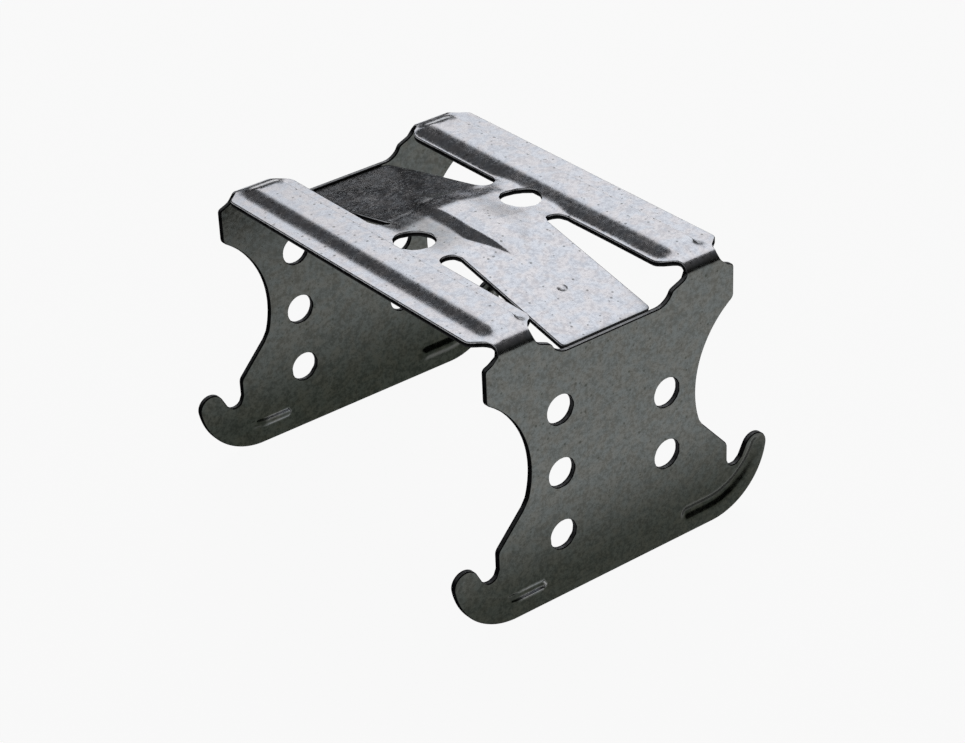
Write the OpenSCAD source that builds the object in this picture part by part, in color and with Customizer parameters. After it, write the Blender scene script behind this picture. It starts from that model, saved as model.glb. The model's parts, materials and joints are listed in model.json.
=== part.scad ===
// Two-level cross connector for suspended plasterboard ceilings.
// One piece of galvanised sheet steel: a flat saddle that sits over the upper
// channel and two legs whose hooks catch the inturned lips of the lower channel.
// Length unit: millimetre. X runs along the legs, Y from leg to leg, Z up.
// The feet of the legs stand on z = 0.

/* [Sheet] */
// Sheet thickness
thick = 0.9; // [0.7:0.05:1.1]
// Inside radius of the bends between saddle and legs
bend_r = 1.2; // [0.8:0.1:1.6]

/* [Saddle] */
// Clear width between the legs
gap = 60.4; // [56:0.2:66]
// Height of the saddle's upper face above the feet
height = 43.6; // [42:0.2:48]
// Width of the saddle
saddle_w = 43.8; // [43:0.1:45]
// Width of each of the two side strips
strip_w = 10.8; // [10.4:0.1:11.2]
// Radius of the relief notches at the ends of the bends
relief_r = 1.55; // [1.3:0.05:1.8]
// Depth of the relief notches from the saddle's long edges
relief_depth = 2.5; // [1.8:0.1:3]
// Depth of the relief notches from the window side
pocket_depth = 2.4; // [1.8:0.1:3]
// Corner radius of the strips where they meet the relief notches
strip_corner = 1.0; // [0.5:0.1:1.2]
// Diameter of the two round holes in the bridge
eye_d = 6.0; // [5:0.1:7]
// Distance between the two round holes
eye_pitch = 19; // [18:0.1:20]

/* [Tongues] */
// Width of the two sloping tongues
tongue_w = 15.6; // [14:0.2:16.4]
// Distance from the middle of the bridge to the end of each slot
slot_start = 6.8; // [6:0.1:8]
// How far a tongue's free edge lies below the window's lower edge
tongue_low = 0.1; // [0:0.05:0.6]
// Radius of the bend at the root of the tongues
tongue_r = 8; // [5:0.5:12]
// Clearance between a tongue's free edge and its leg
tongue_clear = 0.25; // [0.2:0.05:0.6]
// Corner radius of the free edges
tongue_corner = 0.8; // [0.4:0.1:1.4]
// Diameter of the round pip on the front tongue
pip_d = 1.8; // [1.4:0.1:2.4]
// Height of the round pip
pip_h = 0.35; // [0.2:0.05:0.5]
// Distance of the pip from the middle of the bridge
pip_y = 20.5; // [18:0.5:24]

/* [Ribs] */
// Height of the pressed ribs
rib_h = 0.8; // [0.5:0.1:1]
// Width of a side rib at its foot
rib_w = 7.8; // [6.8:0.1:8.2]
// Width of a side rib's crest
rib_crest = 3.8; // [3:0.1:4.4]
// Distance of a side rib's middle from the saddle's centre line
rib_x = 15.8; // [15.4:0.1:16.2]
// Corner radius of a side rib's foot, seen from above
rib_corner = 2.4; // [2.3:0.1:3.2]
// Flat left between a rib's end and the bend
rib_end = 0.1; // [0:0.1:2]
// Crest radius of the middle rib, seen from the side
spine_r = 44; // [42:1:50]
// Width of the middle rib's crest
spine_crest = 4.2; // [3.4:0.1:4.4]
// Width of the middle rib at the level of the saddle
spine_w = 7.8; // [7:0.1:8.2]

/* [Legs] */
// Span over the hooks
hook_span = 57.2; // [56.8:0.1:58.2]
// Radius of the foot below each hook
hook_r = 10.6; // [10:0.1:11.2]
// Radius of a hook's rounded tip
tip_r = 2.1; // [1.9:0.05:2.3]
// Distance between the inner walls of the two notches
throat_w = 41.9; // [41.2:0.1:42.4]
// Radius at the bottom of a notch
notch_r = 1.5; // [1.3:0.05:1.6]
// Height of the notch's centre above the feet
notch_z = 9.3; // [8.9:0.1:9.7]
// Height at which the notch wall begins to round over
lip_z = 11.4; // [11:0.1:11.8]
// Radius of the round lip above the notch wall
lip_r = 1.4; // [1:0.1:1.6]
// How far in from the notch wall the slope above the lip begins
hip_in = 5.2; // [4.6:0.1:5.6]
// Width of the waist
waist_w = 29.7; // [29:0.1:31]
// Radius of the waist
waist_r = 15; // [14.5:0.1:15.8]
// Height of the waist above the feet
waist_z = 22.8; // [22.4:0.1:23.4]
// Width over the shoulders
shoulder_w = 43.8; // [43:0.1:45]
// Corner radius of the shoulders
shoulder_r = 0.6; // [0.4:0.1:1]
// Height of the window's lower edge above the feet
window_z = 38.7; // [38.3:0.1:39.1]
// Width of the window in each leg
window_w = 21.8; // [21.2:0.1:22.2]
// Corner radius of the window
window_r = 3; // [2.4:0.1:3.4]

/* [Screw holes] */
// Diameter of the screw holes
hole_d = 4.5; // [4:0.1:5.5]
// Distance between the holes of a column
hole_pitch = 10; // [9:0.1:10.4]
// Height of the middle hole of the three above the feet
hole_z = 20; // [19.5:0.1:20.5]
// Distance of the column of three from the leg's centre line
three_x = 9.5; // [8.8:0.1:10]
// Distance of the column of two from the leg's centre line
two_x = 9.5; // [8.8:0.1:10]

/* [Foot grooves] */
// Depth of the pressed grooves that stiffen the hooks
groove_h = 0.6; // [0.3:0.1:0.7]
// Width of a groove at its mouth
groove_w = 2.2; // [1.8:0.1:2.6]
// Width of a groove at its bottom
groove_floor = 0.6; // [0.4:0.1:0.8]
// Height of a groove's straight part above the feet
groove_z = 3.4; // [3.2:0.1:3.7]
// Radius of a groove's curved part
groove_r = 10.4; // [10:0.1:10.8]
// Distance of a groove's inner end from the leg's centre line
groove_start = 13.4; // [12:0.1:15]
// Distance at which a groove begins to curve
groove_turn = 17.2; // [16.9:0.1:17.5]
// Angle over which a groove curves up into the hook
groove_sweep = 66; // [55:1:68]

/* [View] */
// Node to show

/* [Hidden] */
$fn = 64;
outer_y = gap / 2 + thick;
bend_out = bend_r + thick;
flat_y = outer_y - bend_out;
under_z = height - thick;
straight_z = height - bend_out;
strip_in = saddle_w / 2 - strip_w;
slot_w = strip_in - tongue_w / 2;
slot_r = slot_w / 2;
slot_x = tongue_w / 2 + slot_r;
eye_x = eye_pitch / 2;
// Foot and tip of a hook: the tip's circle touches the foot's circle inside.
tip_angle = -9;
foot_x = hook_span / 2 - tip_r - (hook_r - tip_r) * cos(tip_angle);
tip_x = foot_x + (hook_r - tip_r) * cos(tip_angle);
tip_z = hook_r + (hook_r - tip_r) * sin(tip_angle);
// Notch circle, and the straight line that touches notch and tip.
wall_x = throat_w / 2;
notch_x = wall_x + notch_r;
centre_d = sqrt(pow(tip_x - notch_x, 2) + pow(tip_z - notch_z, 2));
centre_a = atan2(tip_z - notch_z, tip_x - notch_x);
touch_a = centre_a - acos((notch_r + tip_r) / centre_d);
notch_touch = [notch_x + notch_r * cos(touch_a), notch_z + notch_r * sin(touch_a)];
tip_touch = [tip_x - tip_r * cos(touch_a), tip_z - tip_r * sin(touch_a)];
// Where the waist's circle meets the slope above the notch.
waist_x = waist_w / 2 + waist_r;
hip_x = wall_x - hip_in;
hip_z = waist_z - sqrt(pow(waist_r, 2) - pow(waist_x - hip_x, 2));
// Straight slope from the hip down to the round lip above the notch wall.
lip_x = wall_x - lip_r;
lip_d = sqrt(pow(hip_x - lip_x, 2) + pow(hip_z - lip_z, 2));
lip_a = atan2(hip_z - lip_z, hip_x - lip_x) - acos(lip_r / lip_d);
lip_touch = [lip_x + lip_r * cos(lip_a), lip_z + lip_r * sin(lip_a)];
shoulder_x = shoulder_w / 2;
// The relief notches straddle the bend along its diagonal.
relief_out = saddle_w / 2 - relief_depth + relief_r;
relief_in = strip_in + pocket_depth - relief_r;
strip_end = outer_y - sqrt(2) * relief_r;
// Tongue: bend start, end of the bend and the length of the straight part.
tongue_axis_z = height - thick - tongue_r;
root_out = tongue_r + thick;
tip_y = outer_y - thick - tongue_clear;
tongue_drop = height - window_z + tongue_low;
tongue_run = tip_y - slot_start;
tongue_side = sqrt(pow(tongue_run, 2) + pow(root_out - tongue_drop, 2));
tongue_angle = asin(root_out / tongue_side) - atan2(root_out - tongue_drop, tongue_run);
bend_end_y = slot_start + root_out * sin(tongue_angle);
bend_end_z = tongue_axis_z + root_out * cos(tongue_angle);
tongue_len = (tip_y - bend_end_y) / cos(tongue_angle);
pip_at = (pip_y - bend_end_y) / cos(tongue_angle);
pip_r = (pow(pip_d / 2, 2) + pow(pip_h, 2)) / (2 * pip_h);
dent_d = pip_d * 0.7;
dent_r = (pow(dent_d / 2, 2) + pow(pip_h, 2)) / (2 * pip_h);
// Ribs: the sheet keeps its thickness over crest and flank.
rib_run = (rib_w - rib_crest) / 2;
rib_slant = atan2(rib_h, rib_run);
rib_shift = thick * tan(rib_slant / 2);
rib_reach = flat_y - rib_end;
rib_sink = 0.1;
rib_grow = rib_sink * rib_run / rib_h;
spine_run = (spine_w - spine_crest) / 2;
spine_slant = atan2(rib_h, spine_run);
spine_shift = thick * tan(spine_slant / 2);
spine_z = height + rib_h - spine_r;
spine_deep = 2.4;
spine_tail = tongue_run / 2;
groove_run = (groove_w - groove_floor) / 2;
groove_slant = atan2(groove_h, groove_run);
groove_shift = thick * tan(groove_slant / 2);
groove_cz = groove_z + groove_r;
// The groove ends in a round that is a little wider than the groove.
groove_swell = 0.12;

// A flat shape drawn in X and Z, given the sheet's thickness and placed with
// its outer face on y = -outer_y.
module front_sheet() {
  translate([0, thick - outer_y, 0]) rotate([90, 0, 0]) linear_extrude(thick) children();
}

// A shape drawn in Y and Z, run along X and centred.
module along_x(width) {
  translate([-width / 2, 0, 0]) rotate([90, 0, 90]) linear_extrude(width) children();
}

// The same at both ends of X.
module both_x() {
  children();
  mirror([1, 0, 0]) children();
}

// The same at both ends of Y.
module both_y() {
  children();
  mirror([0, 1, 0]) children();
}

// Right half of a leg below the waist: foot, notch and hook.
module hook_half() {
  difference() {
    union() {
      square([foot_x, notch_z]);
      intersection() {
        translate([foot_x, hook_r]) circle(r = hook_r, $fn = 128);
        polygon([
          [foot_x, -1],
          [foot_x + 2 * hook_r, -1],
          [foot_x + 2 * hook_r, hook_r + 2 * hook_r * sin(tip_angle)],
          [tip_x, tip_z],
          tip_touch,
          [foot_x, hook_r]
        ]);
      }
      polygon([[0, 1], [wall_x, 2], [wall_x, lip_z], [lip_x, lip_z], lip_touch, [hip_x, hip_z], [0, hip_z]]);
      translate([lip_x, lip_z]) circle(r = lip_r);
    }
    translate([notch_x, notch_z]) circle(r = notch_r);
    polygon([[wall_x, notch_z], notch_touch, tip_touch, [tip_x, hip_z + 1], [wall_x, hip_z + 1]]);
  }
  translate([tip_x, tip_z]) circle(r = tip_r);
}

// Outline of a leg in X and Z, up to where the bend begins.
module leg_outline() {
  both_x() hook_half();
  difference() {
    union() {
      translate([-shoulder_x, hip_z - 0.01]) square([shoulder_w, straight_z - shoulder_r - hip_z + 0.01]);
      translate([shoulder_r - shoulder_x, hip_z]) square([shoulder_w - 2 * shoulder_r, straight_z - hip_z]);
      both_x() translate([shoulder_x - shoulder_r, straight_z - shoulder_r]) circle(r = shoulder_r);
    }
    both_x() translate([waist_x, waist_z]) circle(r = waist_r, $fn = 128);
    both_x() translate([hip_x, 0]) square([waist_x - hip_x, waist_z]);
  }
}

// Window at the top of a leg, with round lower corners.
module window_outline() {
  half = window_w / 2;
  translate([-half, window_z + window_r]) square([window_w, height - window_z]);
  translate([window_r - half, window_z]) square([window_w - 2 * window_r, height - window_z]);
  both_x() translate([half - window_r, window_z + window_r]) circle(r = window_r);
}

// Channel section in Y and Z: saddle, two bends and the straight legs' tops.
module channel_outline() {
  translate([-flat_y, under_z]) square([2 * flat_y, thick]);
  both_x() {
    intersection() {
      difference() {
        translate([flat_y, straight_z]) circle(r = bend_out);
        translate([flat_y, straight_z]) circle(r = bend_r);
      }
      translate([flat_y, straight_z]) square(bend_out + 1);
    }
  }
}

// The two slots beside the rear tongue in plan, open towards the leg.
module slots_plan() {
  both_x() {
    translate([slot_x, slot_start + slot_r]) circle(r = slot_r);
    translate([slot_x - slot_r, slot_start + slot_r]) square([slot_w, outer_y]);
  }
}

// Bridge and the two side strips in plan.
module saddle_plan() {
  difference() {
    translate([-saddle_w / 2, -outer_y]) square([saddle_w, 2 * outer_y]);
    both_y() {
      slots_plan();
      translate([-slot_x, slot_start]) square([2 * slot_x, outer_y]);
      both_x() {
        strip_round(saddle_w / 2, 1);
        strip_round(strip_in, -1);
      }
    }
  }
}

// Takes the corner off a strip's end; the strip's long edge lies at the x given.
module strip_round(edge, side) {
  translate([edge - side * strip_corner, strip_end - strip_corner]) difference() {
    translate([side > 0 ? 0 : -1.5 * strip_corner, 0]) square(1.5 * strip_corner);
    circle(r = strip_corner);
  }
}

// Saddle with its bends, still without ribs.
module saddle() {
  intersection() {
    along_x(saddle_w) channel_outline();
    linear_extrude(height + 1) saddle_plan();
  }
}

// Side view of the rear tongue: ring segment at the root, then the slope. The
// two reach into each other at mid-thickness.
module tongue_section() {
  run = [cos(tongue_angle), -sin(tongue_angle)];
  up = [sin(tongue_angle), cos(tongue_angle)];
  axis = [slot_start, tongue_axis_z];
  low = axis + tongue_r * up;
  mid = low + thick / 2 * up;
  high = axis + root_out * up;
  intersection() {
    translate(axis) difference() {
      circle(r = root_out, $fn = 180);
      circle(r = tongue_r, $fn = 180);
    }
    polygon([axis, [slot_start, height + 2], high + 2 * up, mid + run, low]);
  }
  polygon([high, high + tongue_len * run, low + tongue_len * run, low, mid - 0.5 * run]);
}

// Outline of the rear tongue from above, with round corners at its free edge.
module tongue_plan() {
  difference() {
    translate([-slot_x, slot_start]) square([2 * slot_x, outer_y]);
    slots_plan();
    both_x() translate([tongue_w / 2 - tongue_corner, tip_y - tongue_corner]) difference() {
      square(2 * tongue_corner);
      circle(r = tongue_corner);
    }
  }
}

// Rear tongue: bend at the root and the straight slope down to the free edge.
module tongue() {
  intersection() {
    along_x(2 * slot_x) tongue_section();
    translate([0, 0, window_z - 3]) linear_extrude(height) tongue_plan();
  }
}

// Puts a shape on the rear tongue's slope: its lower face is z = 0.
module slope() {
  translate([0, bend_end_y, bend_end_z]) rotate([-tongue_angle, 0, 0]) translate([0, 0, -thick]) children();
}

// Round pip pressed up from the front tongue.
module pip() {
  mirror([0, 1, 0]) slope() translate([0, pip_at, thick]) intersection() {
    translate([0, 0, pip_h - pip_r]) sphere(r = pip_r);
    translate([0, 0, -0.2]) cylinder(h = 2, d = 3 * pip_d);
  }
}

// Dent under the pip.
module dent() {
  mirror([0, 1, 0]) slope() translate([0, pip_at, pip_h - dent_r]) sphere(r = dent_r);
}

// Body of a straight rib with sloping ends. The foot is given by its half
// sizes and its corner radius; inset is how far the crest lies inside of it.
module rib_body(half_x, half_y, corner, inset, deep) {
  along_y(2 * (half_y - corner)) {
    polygon([[-half_x, 0], [half_x, 0], [half_x - inset, deep], [inset - half_x, deep]]);
  }
  along_x(2 * (half_x - corner)) {
    polygon([[-half_y, 0], [half_y, 0], [half_y - inset, deep], [inset - half_y, deep]]);
  }
  both_x() both_y() translate([half_x - corner, half_y - corner]) {
    cylinder(h = deep, r1 = corner, r2 = corner - inset);
  }
}

// A shape drawn in X and Z, run along Y and centred.
module along_y(length) {
  translate([0, length / 2, 0]) rotate([90, 0, 0]) linear_extrude(length) children();
}

// Outer form of a side rib, sunk a little into the sheet.
module rib_outer() {
  translate([rib_x, 0, height - rib_sink]) {
    rib_body(rib_w / 2 + rib_grow, rib_reach + rib_grow, rib_corner + rib_grow, rib_run + rib_grow, rib_h + rib_sink);
  }
}

// Hollow under a side rib.
module rib_inner() {
  grow = rib_grow - rib_shift;
  translate([rib_x, 0, under_z - rib_sink]) {
    rib_body(rib_w / 2 + grow, rib_reach + grow, rib_corner + grow, rib_run + rib_grow, rib_h + rib_sink);
  }
}

// Ring segment that gives the middle rib its arched crest.
module spine_body(foot, crest, top) {
  translate([0, 0, spine_z]) rotate([0, 90, 0]) rotate([0, 0, 150]) rotate_extrude(angle = 60, $fn = 180) {
    polygon([[top - spine_deep, -foot / 2], [top, -crest / 2], [top, crest / 2], [top - spine_deep, foot / 2]]);
  }
}

// Side view of the space from the sheet's middle upwards, bridge and tongues.
module spine_side() {
  mid_z = height - thick / 2;
  end_y = bend_end_y + spine_tail;
  end_z = bend_end_z - thick / 2 - spine_tail * tan(tongue_angle);
  polygon([
    [-end_y, end_z],
    [-bend_end_y, bend_end_z - thick / 2],
    [-slot_start, mid_z],
    [slot_start, mid_z],
    [bend_end_y, bend_end_z - thick / 2],
    [end_y, end_z],
    [end_y, height + 2],
    [-end_y, height + 2]
  ]);
}

// Cross-section of a groove along its path; high is measured from the mouth.
module groove_body(mouth, floor_w, low, high) {
  face = -outer_y;
  translate([groove_start, face, groove_z]) rotate([90, 0, 90]) linear_extrude(groove_turn - groove_start) {
    polygon([[low, -mouth / 2], [high, -floor_w / 2], [high, floor_w / 2], [low, mouth / 2]]);
  }
  translate([groove_turn, face, groove_cz]) rotate([-90, 0, 0]) {
    rotate_extrude(angle = groove_sweep, start = 90 - groove_sweep, $fn = 128) {
      polygon([
        [groove_r - mouth / 2, low],
        [groove_r - floor_w / 2, high],
        [groove_r + floor_w / 2, high],
        [groove_r + mouth / 2, low]
      ]);
    }
    rotate([0, 0, 90 - groove_sweep]) translate([groove_r, 0, low]) {
      cylinder(h = high - low, r1 = mouth / 2 + groove_swell, r2 = floor_w / 2 + groove_swell);
    }
  }
  translate([groove_start, face + low, groove_z]) rotate([-90, 0, 0]) {
    cylinder(h = high - low, r1 = mouth / 2, r2 = floor_w / 2);
  }
}

// Ridge that a groove raises on the leg's inner face.
module groove_ridge() {
  sink = 0.1;
  grow = sink * groove_run / groove_h;
  translate([0, thick, 0]) {
    groove_body(groove_w + 2 * groove_shift + 2 * grow, groove_floor + 2 * groove_shift, -sink, groove_h);
  }
}

// Groove cut into the leg's outer face.
module groove_cut() {
  sink = 0.3;
  grow = sink * groove_run / groove_h;
  groove_body(groove_w + 2 * grow, groove_floor, -sink, groove_h);
}

// One leg, front side: sheet, stiffening ridges, window and screw holes.
module leg() {
  difference() {
    union() {
      front_sheet() leg_outline();
      both_x() groove_ridge();
    }
    both_x() groove_cut();
    for (z = [hole_z - hole_pitch, hole_z, hole_z + hole_pitch]) screw_hole(-three_x, z);
    for (z = [hole_z - hole_pitch / 2, hole_z + hole_pitch / 2]) screw_hole(two_x, z);
  }
}

// Round screw hole through the front leg.
module screw_hole(x, z) {
  translate([x, -outer_y - 2, z]) rotate([-90, 0, 0]) cylinder(h = thick + 4, d = hole_d);
}

// Window through the front leg and its bend.
module window_cut() {
  translate([0, -flat_y, 0]) rotate([90, 0, 0]) linear_extrude(bend_out + 1) window_outline();
}

// Relief notch across the bend: round bottom at x, open towards the side given.
module relief(x, side) {
  mid = bend_out * (1 - cos(45));
  translate([x, mid - outer_y, height - mid]) rotate([45, 0, 0]) {
    cylinder(h = 8, r = relief_r, center = true);
    translate([side * 2, 0, 0]) cube([4, 2 * relief_r, 8], center = true);
  }
}

// The clip: saddle, tongues and legs in one piece of sheet.
module clip() {
  difference() {
    union() {
      saddle();
      both_y() {
        tongue();
        leg();
      }
      both_x() rib_outer();
      pip();
      intersection() {
        spine_body(spine_w + 2 * (spine_deep - rib_h) * spine_run / rib_h, spine_crest, spine_r);
        along_x(2 * spine_w) spine_side();
      }
    }
    both_x() rib_inner();
    dent();
    spine_body(
      spine_w - 2 * spine_shift + 2 * (spine_deep - rib_h) * spine_run / rib_h,
      spine_crest - 2 * spine_shift,
      spine_r - thick
    );
    both_x() translate([eye_x, 0, height - 5]) cylinder(h = 10, d = eye_d);
    both_y() {
      window_cut();
      both_x() {
        relief(relief_out, 1);
        relief(relief_in, -1);
      }
    }
  }
}

color([0.62, 0.64, 0.66]) clip();
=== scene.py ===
"""Looks of a two-level cross connector for suspended ceilings, around its CAD part.

The connector is one piece of galvanised sheet. Its blank is laid out flat, with
every cut edge and every pressed form in it, and a Geometry Nodes tree folds the
blank over the bends. Sizes are in millimetres until a mesh is written.
"""

import json
import logging
import math
from dataclasses import dataclass, field
from enum import Enum
from typing import Callable, Optional, Sequence, Union

import bpy
import numpy as np
from mathutils import Matrix, Vector
from mathutils.geometry import delaunay_2d_cdt
from mathutils.kdtree import KDTree

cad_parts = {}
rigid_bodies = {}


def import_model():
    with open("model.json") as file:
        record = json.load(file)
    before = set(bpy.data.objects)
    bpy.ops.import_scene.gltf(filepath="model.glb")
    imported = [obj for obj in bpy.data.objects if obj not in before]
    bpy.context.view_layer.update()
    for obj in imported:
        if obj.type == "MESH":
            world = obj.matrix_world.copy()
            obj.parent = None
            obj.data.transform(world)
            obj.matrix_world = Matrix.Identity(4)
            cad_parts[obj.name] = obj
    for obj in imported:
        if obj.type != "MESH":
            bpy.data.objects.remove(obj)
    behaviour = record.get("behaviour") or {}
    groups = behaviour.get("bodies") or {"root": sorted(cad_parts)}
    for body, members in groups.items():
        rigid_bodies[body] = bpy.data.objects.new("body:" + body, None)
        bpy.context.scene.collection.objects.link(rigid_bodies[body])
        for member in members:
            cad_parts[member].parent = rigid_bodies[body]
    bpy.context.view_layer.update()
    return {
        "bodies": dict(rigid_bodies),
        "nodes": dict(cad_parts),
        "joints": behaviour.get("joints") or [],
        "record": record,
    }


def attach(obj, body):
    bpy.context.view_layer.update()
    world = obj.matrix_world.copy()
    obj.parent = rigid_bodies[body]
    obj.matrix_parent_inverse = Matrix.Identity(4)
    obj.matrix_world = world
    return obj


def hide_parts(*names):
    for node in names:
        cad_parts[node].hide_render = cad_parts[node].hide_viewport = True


MM = 0.001
STRAIGHT = 1e-4  # turn in radians below which a corner stays as it is
SAME_PLACE = 1e-6  # distance in millimetres below which two points are one
ARC_SHARE, ARC_LEAST = 0.3, 0.05  # step on a small fillet, as a share of its radius and a length
BUMP_DISTANCE = 0.00002  # depth in metres of the finishes' bumps
QUARTER = 0.293  # inset of a rounded edge half way round, as a share of its radius
ROUNDING = 1e-9  # share of a step that is put down to rounding
ROW_SHARE = math.sqrt(0.75)  # distance between the rows of a lattice of equal triangles, as a share of its step
MIX_SOCKETS = {"VECTOR": (4, 5, 1), "RGBA": (6, 7, 2)}  # both inputs and the output of a Mix node
LOG = logging.getLogger("connector")

Array = np.ndarray
Socket = bpy.types.NodeSocket
Feed = Union[float, int, Socket]


class Side(Enum):
    """Which way a relief notch opens, seen from the middle of its strip."""

    OUTER = 1
    WINDOW = -1


class Attribute(Enum):
    """Names of the values that the blank carries through the fold."""

    TONGUE = "on_tongue"
    SHEARED = "sheared"
    BLANK_NORMAL = "blank_normal"
    FOLDED_NORMAL = "folded_normal"
    FLAT_PLACE = "flat_place"
    # Painted shade on the zinc, and a painted highlight beside the left grooves.
    DULLNESS = "dullness"
    # Painted highlight on the cut edges, partly standing for a real burnished band.
    RIM_LIGHT = "rim_light"


@dataclass(frozen=True)
class SheetSizes:
    """Sizes of the folded sheet, the same as in the part's source."""

    thick: float = 0.9
    height: float = 43.6
    outer_y: float = 31.1
    bend_out: float = 2.1
    saddle_half: float = 21.9
    strip_in: float = 11.1
    tongue_half: float = 7.8
    slot_start: float = 6.8
    tongue_bend: float = 8.9
    tongue_drop: float = 5.0
    tongue_clear: float = 0.25
    tongue_corner: float = 0.8
    window_z: float = 38.7
    window_half: float = 10.9
    window_r: float = 3.0
    eye_x: float = 9.5
    eye_r: float = 3.0
    hole_r: float = 2.25
    hole_x: float = 9.5
    hole_z: float = 20.0
    hole_pitch: float = 10.0

    @property
    def flat_y(self) -> float:
        """Distance from the middle to the line where the leg's bend begins."""
        return self.outer_y - self.bend_out

    @property
    def straight_z(self) -> float:
        """Height at which the leg is straight again."""
        return self.height - self.bend_out

    @property
    def bend_len(self) -> float:
        """Length of the bend, measured at half thickness."""
        return (self.bend_out - self.thick / 2) * math.pi / 2

    @property
    def leg_start(self) -> float:
        """Place on the blank where the straight leg begins."""
        return self.flat_y + self.bend_len

    @property
    def tip_y(self) -> float:
        """Distance from the middle to the free edge of a tongue."""
        return self.outer_y - self.thick - self.tongue_clear

    @property
    def tongue_angle(self) -> float:
        """Slope of the tongues in radians.

        Returns:
            The angle that a tongue's bend turns through.
        """
        run = self.tip_y - self.slot_start
        rise = self.tongue_bend - self.tongue_drop
        return math.asin(self.tongue_bend / math.hypot(run, rise)) - math.atan2(rise, run)

    @property
    def root_len(self) -> float:
        """Length of the bend at the root of a tongue."""
        return self.tongue_bend * self.tongue_angle

    @property
    def tongue_end(self) -> float:
        """Place of a tongue's free edge on the blank."""
        reach = self.slot_start + self.tongue_bend * math.sin(self.tongue_angle)
        return self.slot_start + self.root_len + (self.tip_y - reach) / math.cos(self.tongue_angle)

    def on_blank(self, z: float) -> float:
        """Place on the blank of a height on the leg.

        Args:
            z: Height above the feet.

        Returns:
            Distance from the blank's middle line.
        """
        return self.leg_start + self.straight_z - z


def arc(centre: Sequence[float], radius: float, start: float, stop: float, step: float) -> list:
    """Points on an arc, both ends included.

    Args:
        centre: Centre of the arc.
        radius: Radius of the arc.
        start: First angle in degrees.
        stop: Last angle in degrees.
        step: Largest distance between two points.

    Returns:
        A list of (x, y, 0), where the 0 is the fillet radius of the point.
    """
    length = abs(math.radians(stop - start)) * radius
    count = max(2, int(math.ceil(length / step)) + 1)
    angles = np.radians(np.linspace(start, stop, count))
    return [(centre[0] + radius * math.cos(a), centre[1] + radius * math.sin(a), 0.0) for a in angles]


def round_corners(corners: Sequence[Sequence[float]], step: float) -> Array:
    """An open line through corners, each one rounded by its own radius.

    Args:
        corners: Rows of x, y and the corner's radius; the ends aren't rounded.
        step: Largest distance between two points of the result.

    Returns:
        The line's points, two columns.
    """
    rows = np.array(corners, float)
    line = [rows[0, :2]]
    for before, here, after in zip(rows[:-2], rows[1:-1], rows[2:]):
        corner, radius = here[:2], here[2]
        if radius <= 0:
            line.append(corner)
            continue
        back, ahead = before[:2] - corner, after[:2] - corner
        back, ahead = back / np.linalg.norm(back), ahead / np.linalg.norm(ahead)
        turn = math.pi - math.acos(float(np.clip(back @ ahead, -1, 1)))
        if turn < STRAIGHT:
            line.append(corner)
            continue
        trim = radius * math.tan(turn / 2)
        first, last = corner + back * trim, corner + ahead * trim
        bisector = (back + ahead) / np.linalg.norm(back + ahead)
        centre = corner + bisector * radius / math.cos(turn / 2)
        fine = min(step, ARC_SHARE * radius + ARC_LEAST)
        count = max(3, int(math.ceil(radius * turn / fine)) + 1)
        for share in np.linspace(0, 1, count):
            spoke = (first - centre) * math.sin((1 - share) * turn) + (last - centre) * math.sin(share * turn)
            line.append(centre + spoke / math.sin(turn))
    line.append(rows[-1, :2])
    return spaced(np.array(line), step)


def spaced(line: Array, step: float) -> Array:
    """The same line with points put in where two are too far apart.

    Args:
        line: Points of an open line.
        step: Largest distance between two points.

    Returns:
        The line's points without doubles.
    """
    out = [line[0]]
    for start, stop in zip(line[:-1], line[1:]):
        length = float(np.linalg.norm(stop - start))
        if length < SAME_PLACE:
            continue
        count = int(math.ceil(length / step - ROUNDING))
        out.extend(start + (stop - start) * (k + 1) / count for k in range(count))
    return np.array(out)


def smooth_step(value: Array) -> Array:
    """Value held to 0 to 1 and eased at both ends."""
    held = np.clip(value, 0, 1)
    return held * held * (3 - 2 * held)


def soft_floor(value: Array, soft: float) -> Array:
    """Value above zero, zero below, with a round crease.

    Args:
        value: Any numbers.
        soft: Half the width of the round crease.

    Returns:
        The softened maximum of value and zero.
    """
    crease = (value + soft) ** 2 / (4 * soft)
    return np.where(value > soft, value, np.where(value < -soft, 0.0, crease))


@dataclass(frozen=True)
class Ramp:
    """Eased change from 0 at the first value to 1 at the second, which may be the lower one."""

    zero: float
    one: float

    def at(self, value: Array) -> Array:
        """Share that is reached at a value, from 0 to 1."""
        return smooth_step((value - self.zero) / (self.one - self.zero))


@dataclass(frozen=True)
class Patch:
    """Area of the blank with soft borders, one ramp for each border."""

    across: tuple
    along: tuple

    def at(self, x: Array, v: Array) -> Array:
        """How much of the patch there is at a place.

        Args:
            x: Distances from the centre line.
            v: Places along the blank.

        Returns:
            Shares from 0 to 1.
        """
        shares = [ramp.at(x) for ramp in self.across] + [ramp.at(v) for ramp in self.along]
        return np.prod(shares, axis=0)


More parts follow.
